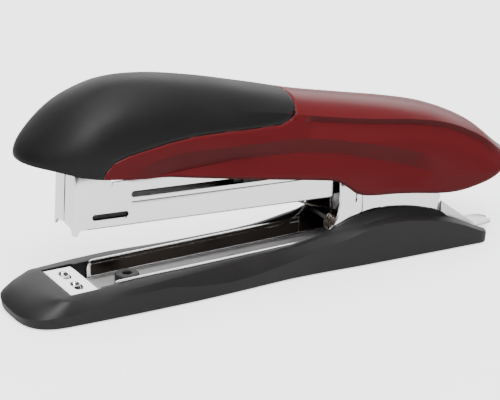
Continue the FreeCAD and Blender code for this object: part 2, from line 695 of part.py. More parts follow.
def handle_spring():
    """The leaf spring that lifts the handle off the magazine."""
    line = [(72.0, frame_top_z(72.0) - sheet - 0.7), (84.0, frame_top_z(84.0) - sheet - 1.4),
            (96.0, 36.6), (104.0, 31.6), (108.0, 30.4), (111.0, 31.2)]
    under = [(x, z - leaf_thick) for x, z in reversed(line)]
    leaf = side_plate(line + under, -leaf_half, leaf_half)
    return leaf.cut(rod_z(spring_rivet_radius + pin_fit, spring_rivet_x, 0, 30, 80))


def spring_rivet():
    z = frame_top_z(spring_rivet_x - 2.0) + seat
    shank = rod_z(spring_rivet_radius, spring_rivet_x, 0, z - sheet - 3.4, z + 0.5)
    return shank.fuse([rod_z(2.0, spring_rivet_x, 0, z, z + 0.6)]).removeSplitter()


# ---------------------------------------------------------------- output
def save(name, shape):
    shape.translate(Vector(-span_mid_x, 0, 0))
    shape.exportStep("parts/%s.step" % name)
    bounds = shape.BoundBox
    print("%-17s %d solids  volume %9.1f  valid %s  x %.1f..%.1f  z %.1f..%.1f" % (
        name, len(shape.Solids), shape.Volume, shape.isValid(),
        bounds.XMin, bounds.XMax, bounds.ZMin, bounds.ZMax))


def main():
    os.makedirs("parts", exist_ok=True)
    cover, grip = handle_shells()
    pieces = {
        "base_cover": base_cover(), "base_pads": base_pads(), "base_channel": base_channel(),
        "anvil_plate": anvil_plate(), "hinge_bracket": hinge_bracket(),
        "staple_remover": staple_remover(), "channel_rivets": channel_rivets(),
        "magazine_bumper": magazine_bumper(), "hinge_pin": hinge_pin(),
        "spring_pin": spring_pin(), "lift_spring": lift_spring(),
        "magazine_housing": magazine_housing(), "staple_rail": staple_rail(),
        "staple_strip": staple_strip(), "blade_guide": blade_guide(), "guide_rod": guide_rod(),
        "rod_stop": rod_stop(), "pusher": pusher(), "pusher_spring": pusher_spring(),
        "hinge_bushes": hinge_bushes(), "handle_cover": cover, "handle_grip": grip,
        "cover_screws": cover_screws(), "handle_frame": handle_frame(),
        "driver_blade": driver_blade(), "blade_rivet": blade_rivet(),
        "handle_spring": handle_spring(), "spring_rivet": spring_rivet(),
    }
    for name, shape in pieces.items():
        save(name, shape)
    print("hinge x %.3f z %.3f" % (hinge_x - span_mid_x, hinge_z))


main()
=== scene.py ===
import json
import math
import bpy
import bmesh
from mathutils import Matrix, Vector


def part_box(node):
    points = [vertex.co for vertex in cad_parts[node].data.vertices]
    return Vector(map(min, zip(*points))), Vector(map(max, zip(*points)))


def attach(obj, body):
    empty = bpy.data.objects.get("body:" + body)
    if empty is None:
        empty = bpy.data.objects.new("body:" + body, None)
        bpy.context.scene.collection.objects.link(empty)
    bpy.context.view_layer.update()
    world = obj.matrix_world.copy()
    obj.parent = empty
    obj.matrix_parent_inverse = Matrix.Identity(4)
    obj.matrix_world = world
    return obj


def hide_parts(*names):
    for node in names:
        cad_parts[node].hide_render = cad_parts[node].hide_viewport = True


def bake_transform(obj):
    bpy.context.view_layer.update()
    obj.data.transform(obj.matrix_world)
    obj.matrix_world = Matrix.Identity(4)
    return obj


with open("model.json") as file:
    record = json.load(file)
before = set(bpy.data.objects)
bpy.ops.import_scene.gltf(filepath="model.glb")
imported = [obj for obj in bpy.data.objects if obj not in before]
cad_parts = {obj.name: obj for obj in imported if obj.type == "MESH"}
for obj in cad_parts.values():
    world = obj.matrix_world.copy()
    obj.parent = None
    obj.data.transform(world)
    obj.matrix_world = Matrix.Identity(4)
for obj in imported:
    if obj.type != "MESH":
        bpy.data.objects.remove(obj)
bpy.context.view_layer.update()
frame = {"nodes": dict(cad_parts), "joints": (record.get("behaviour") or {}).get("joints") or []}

# Sizes below are millimetres on the bench: x runs from the anvil plate's front edge to the
# rear hinge, y is across, z is up from the table. Every piece is turned to metres at its end.
mm = 0.001
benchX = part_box("anvil_plate")[0].x
hingeRow = next(j for j in frame["joints"] if j["name"] == "magazine_pivot")["pos_m"]
hinge = Vector(((hingeRow[0] - benchX) / mm, 0, hingeRow[2] / mm))
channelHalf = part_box("base_channel")[1].y / mm
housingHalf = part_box("magazine_housing")[1].y / mm
sheetThick = 0.8
toRow = Matrix.Translation((benchX, 0, 0)) @ Matrix.Scale(mm, 4)
channelLevel = {"tilt": 1.25, "pivotZ": 8.2}
magazineLevel = {"tilt": 2.3, "hingeS": 125.5, "hingeDrop": 5.85}
fromChannel = (Matrix.Translation((0, 0, channelLevel["pivotZ"]))
               @ Matrix.Rotation(math.radians(-channelLevel["tilt"]), 4, "Y")
               @ Matrix.Translation((0, 0, -channelLevel["pivotZ"])))
fromMagazine = (Matrix.Translation(hinge)
                @ Matrix.Rotation(math.radians(magazineLevel["tilt"]), 4, "Y")
                @ Matrix.Translation((-magazineLevel["hingeS"], 0, magazineLevel["hingeDrop"])))


# helpers for meshes

def curveThrough(rows, x):
    # smooth value of every column at x, from rows that start with their own x
    if x <= rows[0][0]:
        return list(rows[0][1:])
    if x >= rows[-1][0]:
        return list(rows[-1][1:])
    i = max(k for k in range(len(rows) - 1) if rows[k][0] <= x)
    a, b = rows[i], rows[i + 1]
    before, after = rows[max(i - 1, 0)], rows[min(i + 2, len(rows) - 1)]
    span = b[0] - a[0]
    t = (x - a[0]) / span
    out = []
    for k in range(1, len(a)):
        slopeA = (b[k] - before[k]) / (b[0] - before[0])
        slopeB = (after[k] - a[k]) / (after[0] - a[0])
        out.append((2 * t ** 3 - 3 * t ** 2 + 1) * a[k] + (t ** 3 - 2 * t ** 2 + t) * span * slopeA
                   + (3 * t ** 2 - 2 * t ** 3) * b[k] + (t ** 3 - t ** 2) * span * slopeB)
    return out


def straightThrough(rows, x):
    # the same between straight runs
    if x <= rows[0][0]:
        return rows[0][1]
    for a, b in zip(rows, rows[1:]):
        if x <= b[0]:
            return a[1] + (b[1] - a[1]) * (x - a[0]) / (b[0] - a[0])
    return rows[-1][1]


def softStep(value, low, high):
    t = min(1.0, max(0.0, (value - low) / (high - low)))
    return t * t * (3 - 2 * t)


def spaced(low, high, count):
    return [low + (high - low) * i / count for i in range(count + 1)]


def addChain(bm, points, closed=False):
    verts = [bm.verts.new(p) for p in points]
    pairs = list(zip(verts, verts[1:])) + ([(verts[-1], verts[0])] if closed else [])
    return verts, [bm.edges.new(pair) for pair in pairs]


def loft(bm, rings, closed=False):
    # skins a row of sections that have the same number of points
    chains = [addChain(bm, ring, closed) for ring in rings]
    for (_, edgesA), (_, edgesB) in zip(chains, chains[1:]):
        bmesh.ops.bridge_loops(bm, edges=edgesA + edgesB)
    return [verts for verts, _ in chains]


def roundedOutline(corners, steps=5):
    # corners are x, z and a radius
    points = []
    count = len(corners)
    for i, (x, z, radius) in enumerate(corners):
        here = Vector((x, z))
        if radius <= 0:
            points.append(here)
            continue
        back = (Vector(corners[i - 1][:2]) - here).normalized()
        ahead = (Vector(corners[(i + 1) % count][:2]) - here).normalized()
        half = math.acos(max(-1, min(1, back.dot(ahead)))) / 2
        reach = radius / math.tan(half)
        centre = here + (back + ahead).normalized() * (radius / math.sin(half))
        first, last = here + back * reach - centre, here + ahead * reach - centre
        turn = first.angle_signed(last)
        for k in range(steps + 1):
            points.append(centre + Matrix.Rotation(-turn * k / steps, 2) @ first)
    return [(p.x, p.y) for p in points]


def slotOutline(x0, x1, z0, z1, steps=8):
    r = (z1 - z0) / 2 * 0.999
    return roundedOutline([(x0, z0, r), (x1, z0, r), (x1, z1, r), (x0, z1, r)], steps)


def fillOutline(bm, loops, place):
    # a flat sheet with holes; place turns two numbers into a point
    edges = []
    for points in loops:
        edges += addChain(bm, [place(u, v) for u, v in points], closed=True)[1]
    bmesh.ops.triangle_fill(bm, use_beauty=True, use_dissolve=False, edges=edges)


def slab(bm, loops, place, move):
    # the same sheet pulled out to a thickness
    start = set(bm.faces)
    fillOutline(bm, loops, place)
    made = bmesh.ops.extrude_face_region(bm, geom=[f for f in bm.faces if f not in start])
    verts = [g for g in made["geom"] if isinstance(g, bmesh.types.BMVert)]
    bmesh.ops.translate(bm, vec=move, verts=verts)


def plate(bm, loops, y0, y1):
    # a flat plate drawn in x and z between two y planes
    slab(bm, loops, lambda u, v: Vector((u, y0, v)), (0, y1 - y0, 0))


def cutAt(bm, axis, value):
    normal = Vector((axis == "x", axis == "y", axis == "z"))
    bmesh.ops.bisect_plane(bm, geom=bm.verts[:] + bm.edges[:] + bm.faces[:],
                           plane_co=normal * value, plane_no=normal, dist=1e-5)


def pointUp(bm):
    bmesh.ops.remove_doubles(bm, verts=bm.verts, dist=1e-4)
    bmesh.ops.recalc_face_normals(bm, faces=bm.faces)


def linkPiece(name, bm, material, place=None, sharpAngle=None):
    # the mesh goes from the bench to the row frame and becomes an object
    bmesh.ops.transform(bm, matrix=toRow @ (place or Matrix.Identity(4)), verts=bm.verts)
    mesh = bpy.data.meshes.new(name)
    bm.to_mesh(mesh)
    bm.free()
    mesh.polygons.foreach_set("use_smooth", [True] * len(mesh.polygons))
    if sharpAngle:
        mesh.set_sharp_from_angle(angle=math.radians(sharpAngle))
    mesh.materials.append(material)
    piece = bpy.data.objects.new(name, mesh)
    bpy.context.scene.collection.objects.link(piece)
    print("piece", name, len(mesh.polygons), "faces")
    return piece


def finishPiece(name, bm, material, body, nodes, place=None, sharpAngle=32, merge=True):
    # a piece that is tied to one body and stands for the named nodes
    if merge:
        bmesh.ops.remove_doubles(bm, verts=bm.verts, dist=1e-4)
    piece = linkPiece(name, bm, material, place, sharpAngle)
    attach(piece, body)
    if nodes:
        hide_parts(*nodes)
    return piece


def thicken(piece, thick, offset, innerPaintedShade=None):
    solid = piece.modifiers.new("thickness", "SOLIDIFY")
    # the inner faces get a second material; here it is only the dark painted shade
    if innerPaintedShade:
        piece.data.materials.append(innerPaintedShade)
        solid.material_offset = 1
    solid.thickness, solid.offset = thick * mm, offset


def roundEdges(piece, width, segments=2, angle=40):
    bevel = piece.modifiers.new("edges", "BEVEL")
    bevel.width, bevel.segments = width * mm, segments
    bevel.limit_method, bevel.angle_limit = "ANGLE", math.radians(angle)
    bevel.use_clamp_overlap = True


# shader groups

def newGroup(name, inputs, outputs):
    tree = bpy.data.node_groups.new(name, "ShaderNodeTree")
    for label, value in inputs:
        socket = tree.interface.new_socket(name=label, in_out="INPUT", socket_type="NodeSocketFloat")
        socket.default_value = value
    for label in outputs:
        tree.interface.new_socket(name=label, in_out="OUTPUT", socket_type="NodeSocketFloat")
    return tree, tree.nodes.new("NodeGroupInput"), tree.nodes.new("NodeGroupOutput")


def addNode(tree, kind, **values):
    node = tree.nodes.new(kind)
    for key, value in values.items():
        if hasattr(node, key):
            setattr(node, key, value)
        else:
            node.inputs[key.replace("_", " ")].default_value = value
    return node


def addMath(tree, operation, a, b=None, c=None):
    node = tree.nodes.new("ShaderNodeMath")
    node.operation = operation
    for socket, value in zip(node.inputs, (a, b, c)):
        if isinstance(value, bpy.types.NodeSocket):
            tree.links.new(value, socket)
        elif value is not None:
            socket.default_value = value
    return node.outputs[0]


def addMix(tree, amount, a, b):
    node = tree.nodes.new("ShaderNodeMix")
    node.data_type = "RGBA"
    for socket, value in ((node.inputs[0], amount), (node.inputs[6], a), (node.inputs[7], b)):
        if isinstance(value, bpy.types.NodeSocket):
            tree.links.new(value, socket)
        else:
            socket.default_value = value
    return node.outputs[2]


def addNoise(tree, place, scale, **values):
    noise = addNode(tree, "ShaderNodeTexNoise", **values)
    tree.links.new(place, noise.inputs["Vector"])
    tree.links.new(scale, noise.inputs["Scale"])
    return noise.outputs["Fac"]


def makeGrainGroup():
    # moulded texture: fine pits with a slower swell under them
    tree, start, end = newGroup("mouldedGrain", [("Cell", 2500.0), ("Swell", 90.0)], ["Height", "Mask"])
    place = tree.nodes.new("ShaderNodeTexCoord").outputs["Object"]
    pits = addNode(tree, "ShaderNodeTexVoronoi", feature="SMOOTH_F1")
    tree.links.new(place, pits.inputs["Vector"])
    tree.links.new(start.outputs["Cell"], pits.inputs["Scale"])
    swell = addNoise(tree, place, start.outputs["Swell"], Detail=3.0)
    speck = addNoise(tree, place, addMath(tree, "MULTIPLY", start.outputs["Cell"], 0.45), Detail=2.0)
    fine = addMath(tree, "ADD", pits.outputs["Distance"], speck)
    tree.links.new(addMath(tree, "MULTIPLY_ADD", swell, 0.3, fine), end.inputs["Height"])
    tree.links.new(addMath(tree, "MULTIPLY_ADD", swell, 2.2, -0.6), end.inputs["Mask"])
    return tree


def makeEdgeGroup():
    # a mask that is bright on worn convex edges
    tree, start, end = newGroup("edgeWear", [("Radius", 0.0004), ("Breakup", 400.0)], ["Mask"])
    soft = addNode(tree, "ShaderNodeBevel", samples=4)
    tree.links.new(start.outputs["Radius"], soft.inputs["Radius"])
    shape = tree.nodes.new("ShaderNodeNewGeometry")
    compare = addNode(tree, "ShaderNodeVectorMath", operation="DOT_PRODUCT")
    tree.links.new(soft.outputs[0], compare.inputs[0])
    tree.links.new(shape.outputs["Normal"], compare.inputs[1])
    place = tree.nodes.new("ShaderNodeTexCoord").outputs["Object"]
    noise = addNoise(tree, place, start.outputs["Breakup"], Detail=3.0)
    bent = addMath(tree, "SUBTRACT", 1.0, compare.outputs["Value"])
    worn = addMath(tree, "MULTIPLY", addMath(tree, "MULTIPLY", bent, 6.0), noise)
    tree.links.new(addMath(tree, "MINIMUM", addMath(tree, "MAXIMUM", worn, 0.0), 1.0), end.inputs["Mask"])
    return tree


def makeBrushGroup():
    # faint rolling lines along the sheet, with slower clouding
    tree, start, end = newGroup("rolledSteel", [("Fine", 900.0), ("Cloud", 45.0)], ["Height", "Cloud"])
    place = tree.nodes.new("ShaderNodeTexCoord").outputs["Object"]
    stretch = tree.nodes.new("ShaderNodeMapping")
    stretch.inputs["Scale"].default_value = (0.03, 1.0, 1.0)
    tree.links.new(place, stretch.inputs["Vector"])
    lines = addNoise(tree, stretch.outputs[0], start.outputs["Fine"], Detail=4.0, Roughness=0.6)
    cloud = addNoise(tree, place, start.outputs["Cloud"], Detail=3.0)
    tree.links.new(lines, end.inputs["Height"])
    tree.links.new(cloud, end.inputs["Cloud"])
    return tree


def makeDustGroup():
    # a thin film that settles where a surface looks up
    tree, start, end = newGroup("settledDust", [("Spread", 130.0), ("Amount", 0.3)], ["Mask"])
    place = tree.nodes.new("ShaderNodeTexCoord").outputs["Object"]
    noise = addNoise(tree, place, start.outputs["Spread"], Detail=6.0, Roughness=0.7)
    shape = tree.nodes.new("ShaderNodeNewGeometry")
    parts = tree.nodes.new("ShaderNodeSeparateXYZ")
    tree.links.new(shape.outputs["Normal"], parts.inputs[0])
    up = addMath(tree, "MAXIMUM", parts.outputs["Z"], 0.0)
    film = addMath(tree, "MULTIPLY", addMath(tree, "MULTIPLY", up, noise), start.outputs["Amount"])
    tree.links.new(film, end.inputs["Mask"])
    return tree


grainGroup = makeGrainGroup()
edgeGroup = makeEdgeGroup()
brushGroup = makeBrushGroup()
dustGroup = makeDustGroup()
print("shader groups ready")


# materials

def startMaterial(name, roughness, metallic=0.0, coat=0.0, specular=0.5):
    material = bpy.data.materials.new(name)
    material.use_nodes = True
    tree = material.node_tree
    shader = tree.nodes["Principled BSDF"]
    for label, value in (("Roughness", roughness), ("Metallic", metallic), ("Coat Weight", coat),
                         ("Coat Roughness", 0.1), ("Specular IOR Level", specular)):
        shader.inputs[label].default_value = value
    return material, tree, shader


def useGroup(tree, group, **values):
    node = tree.nodes.new("ShaderNodeGroup")
    node.node_tree = group
    for key, value in values.items():
        node.inputs[key].default_value = value
    return node


def bumpFrom(tree, shader, height, strength, distance):
    bump = tree.nodes.new("ShaderNodeBump")
    bump.inputs["Strength"].default_value = strength
    bump.inputs["Distance"].default_value = distance * mm
    tree.links.new(height, bump.inputs["Height"])
    tree.links.new(bump.outputs["Normal"], shader.inputs["Normal"])


def plasticMaterial(name, look):
    # moulded plastic or rubber: grain, uneven gloss, pale worn edges and a little dust
    material, tree, shader = startMaterial(name, look["rough"], coat=look.get("coat", 0.0),
                                           specular=look.get("specular", 0.5))
    grain = useGroup(tree, grainGroup, Cell=look["cell"], Swell=look["swell"])
    worn = useGroup(tree, edgeGroup, Radius=look.get("edge", 0.35) * mm)
    dust = useGroup(tree, dustGroup, Amount=look.get("dust", 0.1))
    patches = addMath(tree, "MULTIPLY", grain.outputs["Mask"], 0.6)
    patchy = addMix(tree, patches, look["colour"], look["second"])
    wear = addMath(tree, "MULTIPLY", worn.outputs["Mask"], look["wear"])
    rubbed = addMix(tree, wear, patchy, look["worn"])
    dusty = addMix(tree, dust.outputs["Mask"], rubbed, (0.42, 0.4, 0.38, 1))
    tree.links.new(dusty, shader.inputs["Base Color"])
    rough = addMath(tree, "MULTIPLY_ADD", grain.outputs["Mask"], look["roughSpread"], look["rough"])
    rough = addMath(tree, "ADD", rough, addMath(tree, "MULTIPLY", dust.outputs["Mask"], 0.4))
    tree.links.new(addMath(tree, "SUBTRACT", rough, addMath(tree, "MULTIPLY", worn.outputs["Mask"], 0.1)),
                   shader.inputs["Roughness"])
    bumpFrom(tree, shader, grain.outputs["Height"], look["bump"], look["deep"])
    return material


def steelMaterial(name, look):
    # plated or bare sheet: rolling lines, clouded gloss and brighter edges
    material, tree, shader = startMaterial(name, look["rough"], metallic=1.0)
    brush = useGroup(tree, brushGroup, Fine=look["fine"], Cloud=look["cloud"])
    worn = useGroup(tree, edgeGroup, Radius=0.25 * mm)
    dust = useGroup(tree, dustGroup, Amount=look.get("dust", 0.05))
    tone = addMix(tree, brush.outputs["Cloud"], look["colour"], look["second"])
    tone = addMix(tree, addMath(tree, "MULTIPLY", worn.outputs["Mask"], 0.5), tone, look["worn"])
    tree.links.new(tone, shader.inputs["Base Color"])
    rough = addMath(tree, "MULTIPLY_ADD", brush.outputs["Cloud"], look["roughSpread"], look["rough"])
    tree.links.new(addMath(tree, "ADD", rough, dust.outputs["Mask"]), shader.inputs["Roughness"])
    bumpFrom(tree, shader, brush.outputs["Height"], look["bump"], look["deep"])
    return material


rubberLook = {"colour": (0.0062, 0.0056, 0.0062, 1), "second": (0.009, 0.008, 0.009, 1),
              "worn": (0.04, 0.038, 0.04, 1), "rough": 0.47, "roughSpread": 0.08, "cell": 2600.0,
              "swell": 60.0, "bump": 0.35, "deep": 0.03, "wear": 0.25, "dust": 0.006, "specular": 0.22}
redLook = {"colour": (0.112, 0.0125, 0.0148, 1), "second": (0.1, 0.0108, 0.013, 1),
           "worn": (0.18, 0.02, 0.023, 1), "rough": 0.3, "roughSpread": 0.04, "cell": 700.0,
           "swell": 40.0, "bump": 0.06, "deep": 0.01, "wear": 0.2, "dust": 0.004, "coat": 0.03,
           "specular": 0.06}
baseLook = {"colour": (0.0098, 0.0088, 0.0094, 1), "second": (0.015, 0.0135, 0.0145, 1),
            "worn": (0.05, 0.047, 0.047, 1), "rough": 0.44, "roughSpread": 0.08, "cell": 1900.0,
            "swell": 70.0, "bump": 0.3, "deep": 0.02, "wear": 0.35, "dust": 0.02, "specular": 0.32}
padLook = {"colour": (0.02, 0.02, 0.021, 1), "second": (0.03, 0.03, 0.03, 1),
           "worn": (0.06, 0.06, 0.06, 1), "rough": 0.7, "roughSpread": 0.1, "cell": 1500.0,
           "swell": 90.0, "bump": 0.5, "deep": 0.04, "wear": 0.3, "dust": 0.15}
bumperLook = {"colour": (0.009, 0.0085, 0.009, 1), "second": (0.014, 0.013, 0.0135, 1),
              "worn": (0.04, 0.04, 0.04, 1), "rough": 0.55, "roughSpread": 0.1, "cell": 1800.0,
              "swell": 200.0, "bump": 0.3, "deep": 0.03, "wear": 0.3, "dust": 0.1}
chromeLook = {"colour": (0.83, 0.82, 0.83, 1), "second": (0.88, 0.87, 0.88, 1),
              "worn": (0.95, 0.94, 0.94, 1), "rough": 0.1, "roughSpread": 0.08, "fine": 900.0,
              "cloud": 35.0, "bump": 0.05, "deep": 0.004}
satinLook = {"colour": (0.6, 0.59, 0.6, 1), "second": (0.7, 0.69, 0.7, 1),
             "worn": (0.85, 0.84, 0.84, 1), "rough": 0.26, "roughSpread": 0.12, "fine": 700.0,
             "cloud": 50.0, "bump": 0.15, "deep": 0.01}
# painted shade: the rail is made nearly black because it lies in shade inside the magazine
railShadeLook = {"colour": (0.05, 0.047, 0.045, 1), "second": (0.035, 0.033, 0.032, 1),
            "worn": (0.2, 0.19, 0.18, 1), "rough": 0.35, "roughSpread": 0.1, "fine": 700.0,
            "cloud": 60.0, "bump": 0.15, "deep": 0.01}
floorLook = {"colour": (0.82, 0.81, 0.81, 1), "second": (0.88, 0.87, 0.87, 1),
             "worn": (0.95, 0.94, 0.94, 1), "rough": 0.5, "roughSpread": 0.1, "fine": 800.0,
             "cloud": 60.0, "bump": 0.15, "deep": 0.01}
# painted shade: a dark steel for inside faces, standing in for the shade inside the magazine and the
# channel
paintedShadeLook = {"colour": (0.045, 0.038, 0.033, 1), "second": (0.03, 0.025, 0.022, 1),
             "worn": (0.3, 0.29, 0.28, 1), "rough": 0.32, "roughSpread": 0.12, "fine": 700.0,
             "cloud": 40.0, "bump": 0.15, "deep": 0.01}
springLook = {"colour": (0.3, 0.26, 0.22, 1), "second": (0.2, 0.17, 0.14, 1),
              "worn": (0.7, 0.66, 0.6, 1), "rough": 0.18, "roughSpread": 0.15, "fine": 500.0,
              "cloud": 300.0, "bump": 0.1, "deep": 0.005}
# painted shade: the staples are made nearly black because they lie in shade inside the magazine
stapleShadeLook = {"colour": (0.05, 0.048, 0.045, 1), "second": (0.03, 0.028, 0.027, 1),
            "worn": (0.16, 0.16, 0.16, 1), "rough": 0.42, "roughSpread": 0.1, "fine": 600.0,
            "cloud": 120.0, "bump": 0.1, "deep": 0.005}

gripRubber = plasticMaterial("gripRubber", rubberLook)
coverRed = plasticMaterial("coverRed", redLook)
basePlastic = plasticMaterial("basePlastic", baseLook)
padRubber = plasticMaterial("padRubber", padLook)
bumperRubber = plasticMaterial("bumperRubber", bumperLook)
chromePlate = steelMaterial("chromePlate", chromeLook)
satinPlate = steelMaterial("satinPlate", satinLook)
railShadedSteel = steelMaterial("railShadedSteel", railShadeLook)
paintedShadeSteel = steelMaterial("paintedShadeSteel", paintedShadeLook)
rubbedSteel = steelMaterial("rubbedSteel", floorLook)
springWire = steelMaterial("springWire", springLook)
stapleShadedWire = steelMaterial("stapleShadedWire", stapleShadeLook)
print("materials ready")


# handle: one outer form, from which the hard cover and the soft grip are cut

handle = {
    "noseX": -12.0, "tailX": 163.0, "noseZ": 50.0, "tailZ": 29.3, "noseLength": 20.0, "tailLength": 17.0,
    # x, top z, crease y and z, widest y and z
    "rows": [(-12.0, 57.4, 13.0, 55.0, 18.0, 50.2), (-6.0, 60.8, 13.2, 58.0, 18.0, 50.6),
             (4.0, 66.3, 13.5, 61.4, 18.0, 50.8), (16.0, 70.6, 13.7, 64.6, 18.0, 50.2),
             (30.0, 70.7, 13.9, 64.4, 18.0, 48.8), (48.0, 67.6, 14.0, 61.2, 18.0, 46.0),
             (66.0, 63.2, 14.0, 57.9, 18.0, 42.6), (84.0, 58.5, 13.9, 54.0, 17.9, 38.6),
             (102.0, 54.7, 13.7, 50.6, 17.6, 33.6), (120.0, 50.9, 13.3, 47.8, 17.1, 29.2),
             (134.0, 47.2, 12.9, 44.3, 16.6, 27.0), (146.0, 42.0, 12.5, 38.6, 16.2, 26.0),
             (156.0, 35.4, 12.2, 32.0, 16.0, 25.4), (163.0, 30.6, 12.0, 28.0, 16.0, 25.0)],
    "rim": [(-12.0, 50.0), (-6.0, 49.2), (3.0, 47.0), (21.0, 44.2), (42.0, 40.8), (62.0, 37.3),
            (84.5, 33.4), (90.0, 32.0), (93.6, 29.6), (97.0, 27.0), (101.0, 25.6), (113.0, 24.2),
            (131.0, 21.6), (138.0, 21.3), (144.0, 22.0), (151.0, 23.4), (158.0, 25.0), (163.0, 26.2)],
    "grip": [(6.3, 44.0), (8.6, 48.2), (11.5, 50.9), (16.0, 52.3), (21.0, 53.1), (30.0, 54.4),
             (39.0, 55.0), (48.0, 54.8), (56.0, 54.3), (64.0, 53.8), (69.0, 53.7), (72.5, 54.5),
             (75.3, 56.4), (77.3, 58.8), (79.0, 61.6), (82.0, 66.0)],
    "scoopTop": [(14.0, 45.4), (18.3, 47.0), (25.0, 49.6), (33.6, 50.9), (53.7, 50.0), (77.0, 48.6),
                 (90.0, 46.0), (112.0, 40.1), (122.6, 36.3), (128.3, 32.3), (131.0, 28.6)],
    "scoopFoot": [(14.0, 44.6), (33.6, 44.1), (53.8, 45.0), (75.4, 43.6), (90.4, 41.0), (112.4, 34.6),
                  (122.6, 31.0), (131.0, 26.6)],
    "scoopDeep": 2.7, "bandHigh": 2.1, "bandDeep": 1.5, "coverWall": 1.6, "gripThick": 1.4,
}


def endShrink(x):
    nose, tail = handle["noseLength"], handle["tailLength"]
    front = max(0.0, (handle["noseX"] + nose - x) / nose)
    back = max(0.0, (x - handle["tailX"] + tail) / tail)
    return math.sqrt(max(0.0, 1 - front ** 2)) * math.sqrt(max(0.0, 1 - back ** 2.6))


def handleSection(x):
    # half a section, from the middle of the top to the lip under the rim
    top, creaseY, creaseZ, wideY, wideZ = curveThrough(handle["rows"], x)
    rimZ = curveThrough(handle["rim"], x)[0]
    shrink = endShrink(x)
    sharp = softStep(x, 50.0, 70.0)
    band = softStep(x, 77.5, 81.5) * (1 - softStep(x, 152.0, 161.0))
    scoop = handle["scoopDeep"] * softStep(x, 14.0, 34.0) * (1 - softStep(x, 118.0, 131.0))
    scoopTop = straightThrough(handle["scoopTop"], x)
    scoopFoot = min(straightThrough(handle["scoopFoot"], x), scoopTop - 0.6)
    bandFoot = creaseZ - handle["bandHigh"]

    def sideY(z):
        # y of the side before any recess: a full curve in front, a flatter one behind the crease
        reach = max(0.0, min(1.0, (z - wideZ) / (top - wideZ)))
        full = wideY * (1 - reach ** 2.3) ** (1 / 2.3)
        t = max(0.0, min(1.0, (z - wideZ) / (creaseZ - wideZ)))
        flat = wideY - (wideY - creaseY) * (0.7 * t + 0.3 * t * t)
        return full + (flat - full) * sharp

    points = []
    for i in range(15):
        t = i / 14
        angle = t * math.pi / 2
        y = creaseY * math.sin(angle) ** 0.9
        arch = top - (top - creaseZ) * (y / creaseY) ** 2.4
        ring = wideZ + (top - wideZ) * (1 - min(1.0, y / wideY) ** 2.3) ** (1 / 2.3)
        points.append((y, ring + (arch - ring) * sharp))
    startZ = points[-1][1]
    marks = [startZ, startZ + (bandFoot - creaseZ), scoopTop, scoopFoot, rimZ + 1.2]
    for k in range(1, len(marks)):
        marks[k] = min(marks[k], marks[k - 1] - 0.25)
    marks[-1] = max(marks[-1], rimZ + 0.2)
    for k in range(len(marks) - 2, 0, -1):
        marks[k] = max(marks[k], marks[k + 1] + 0.2)
    counts = (3, 7, 6, 7)
    for (high, low), count in zip(zip(marks, marks[1:]), counts):
        for step in range(1, count + 1):
            z = high + (low - high) * step / count
            y = sideY(z)
            if z > marks[1] - 1e-6:
                inward = handle["bandDeep"] * (high - z) / max(high - low, 0.1)
            else:
                inward = handle["bandDeep"] * max(0.0, 1 - (marks[1] - z) / 5.0)
            y -= inward * band
            if z < scoopTop:
                depth = min(1.0, (scoopTop - z) / (scoopTop - scoopFoot))
                if z < scoopFoot:
                    depth = 1 - 0.8 * min(1.0, (scoopFoot - z) / max(2.0, scoopFoot - rimZ))
                y -= scoop * depth
            points.append((y, z))
    lastY = points[-1][0]
    for angle in (30, 60, 90):
        a = math.radians(angle)
        points.append((lastY - 1.1 * (1 - math.cos(a)), marks[-1] - (marks[-1] - rimZ) * math.sin(a)))
    middle = handle["noseZ"] if x < 60 else handle["tailZ"]
    return [(y * shrink, middle + (z - middle) * shrink) for y, z in points]


# places of the lines among a section's points
creaseIndex, bandIndex, scoopTopIndex, scoopFootIndex = 14, 17, 24, 30


def handleStations():
    nose, tail = handle["noseX"], handle["tailX"]
    front = [nose + handle["noseLength"] * (1 - math.cos(math.radians(a))) for a in range(0, 88, 6)]
    middle = spaced(front[-1] + 1.4, tail - handle["tailLength"] - 1.0, 96)
    back = [tail - handle["tailLength"] * (1 - math.sin(math.radians(a))) for a in range(0, 91, 6)]
    return front + middle + back


def gripSide(x, z):
    # how far a point lies from the joint line, seen from the side; positive on the grip
    line = handle["grip"]
    best = 1e9
    for (x0, z0), (x1, z1) in zip(line, line[1:]):
        along = Vector((x1 - x0, z1 - z0))
        t = max(0.0, min(1.0, Vector((x - x0, z - z0)).dot(along) / along.length_squared))
        best = min(best, (Vector((x, z)) - Vector((x0, z0)) - along * t).length)
    if x <= line[0][0]:
        return best
    return best if x < line[-1][0] and z > straightThrough(line, x) else -best


def faceSide(face):
    centre = face.calc_center_median()
    return gripSide(centre.x, centre.z)


def aboveRim(point):
    return point.z - curveThrough(handle["rim"], point.x)[0]


def movedLine(line, distance):
    # the joint line shifted towards the grip
    out = []
    for i, (x, z) in enumerate(line):
        before, after = Vector(line[max(i - 1, 0)]), Vector(line[min(i + 1, len(line) - 1)])
        along = (after - before).normalized()
        out.append((x - along.y * distance, z + along.x * distance))
    return out


def cutAlong(bm, line):
    for x, _ in line:
        cutAt(bm, "x", x)
    for (x0, z0), (x1, z1) in zip(line, line[1:]):
        faces = [f for f in bm.faces if x0 < f.calc_center_median().x < x1]
        near = set(faces) | {e for f in faces for e in f.edges} | {v for f in faces for v in f.verts}
        bmesh.ops.bisect_plane(bm, geom=list(near), plane_co=(x0, 0, z0), dist=1e-5,
                               plane_no=Vector((z0 - z1, 0, x1 - x0)).normalized())


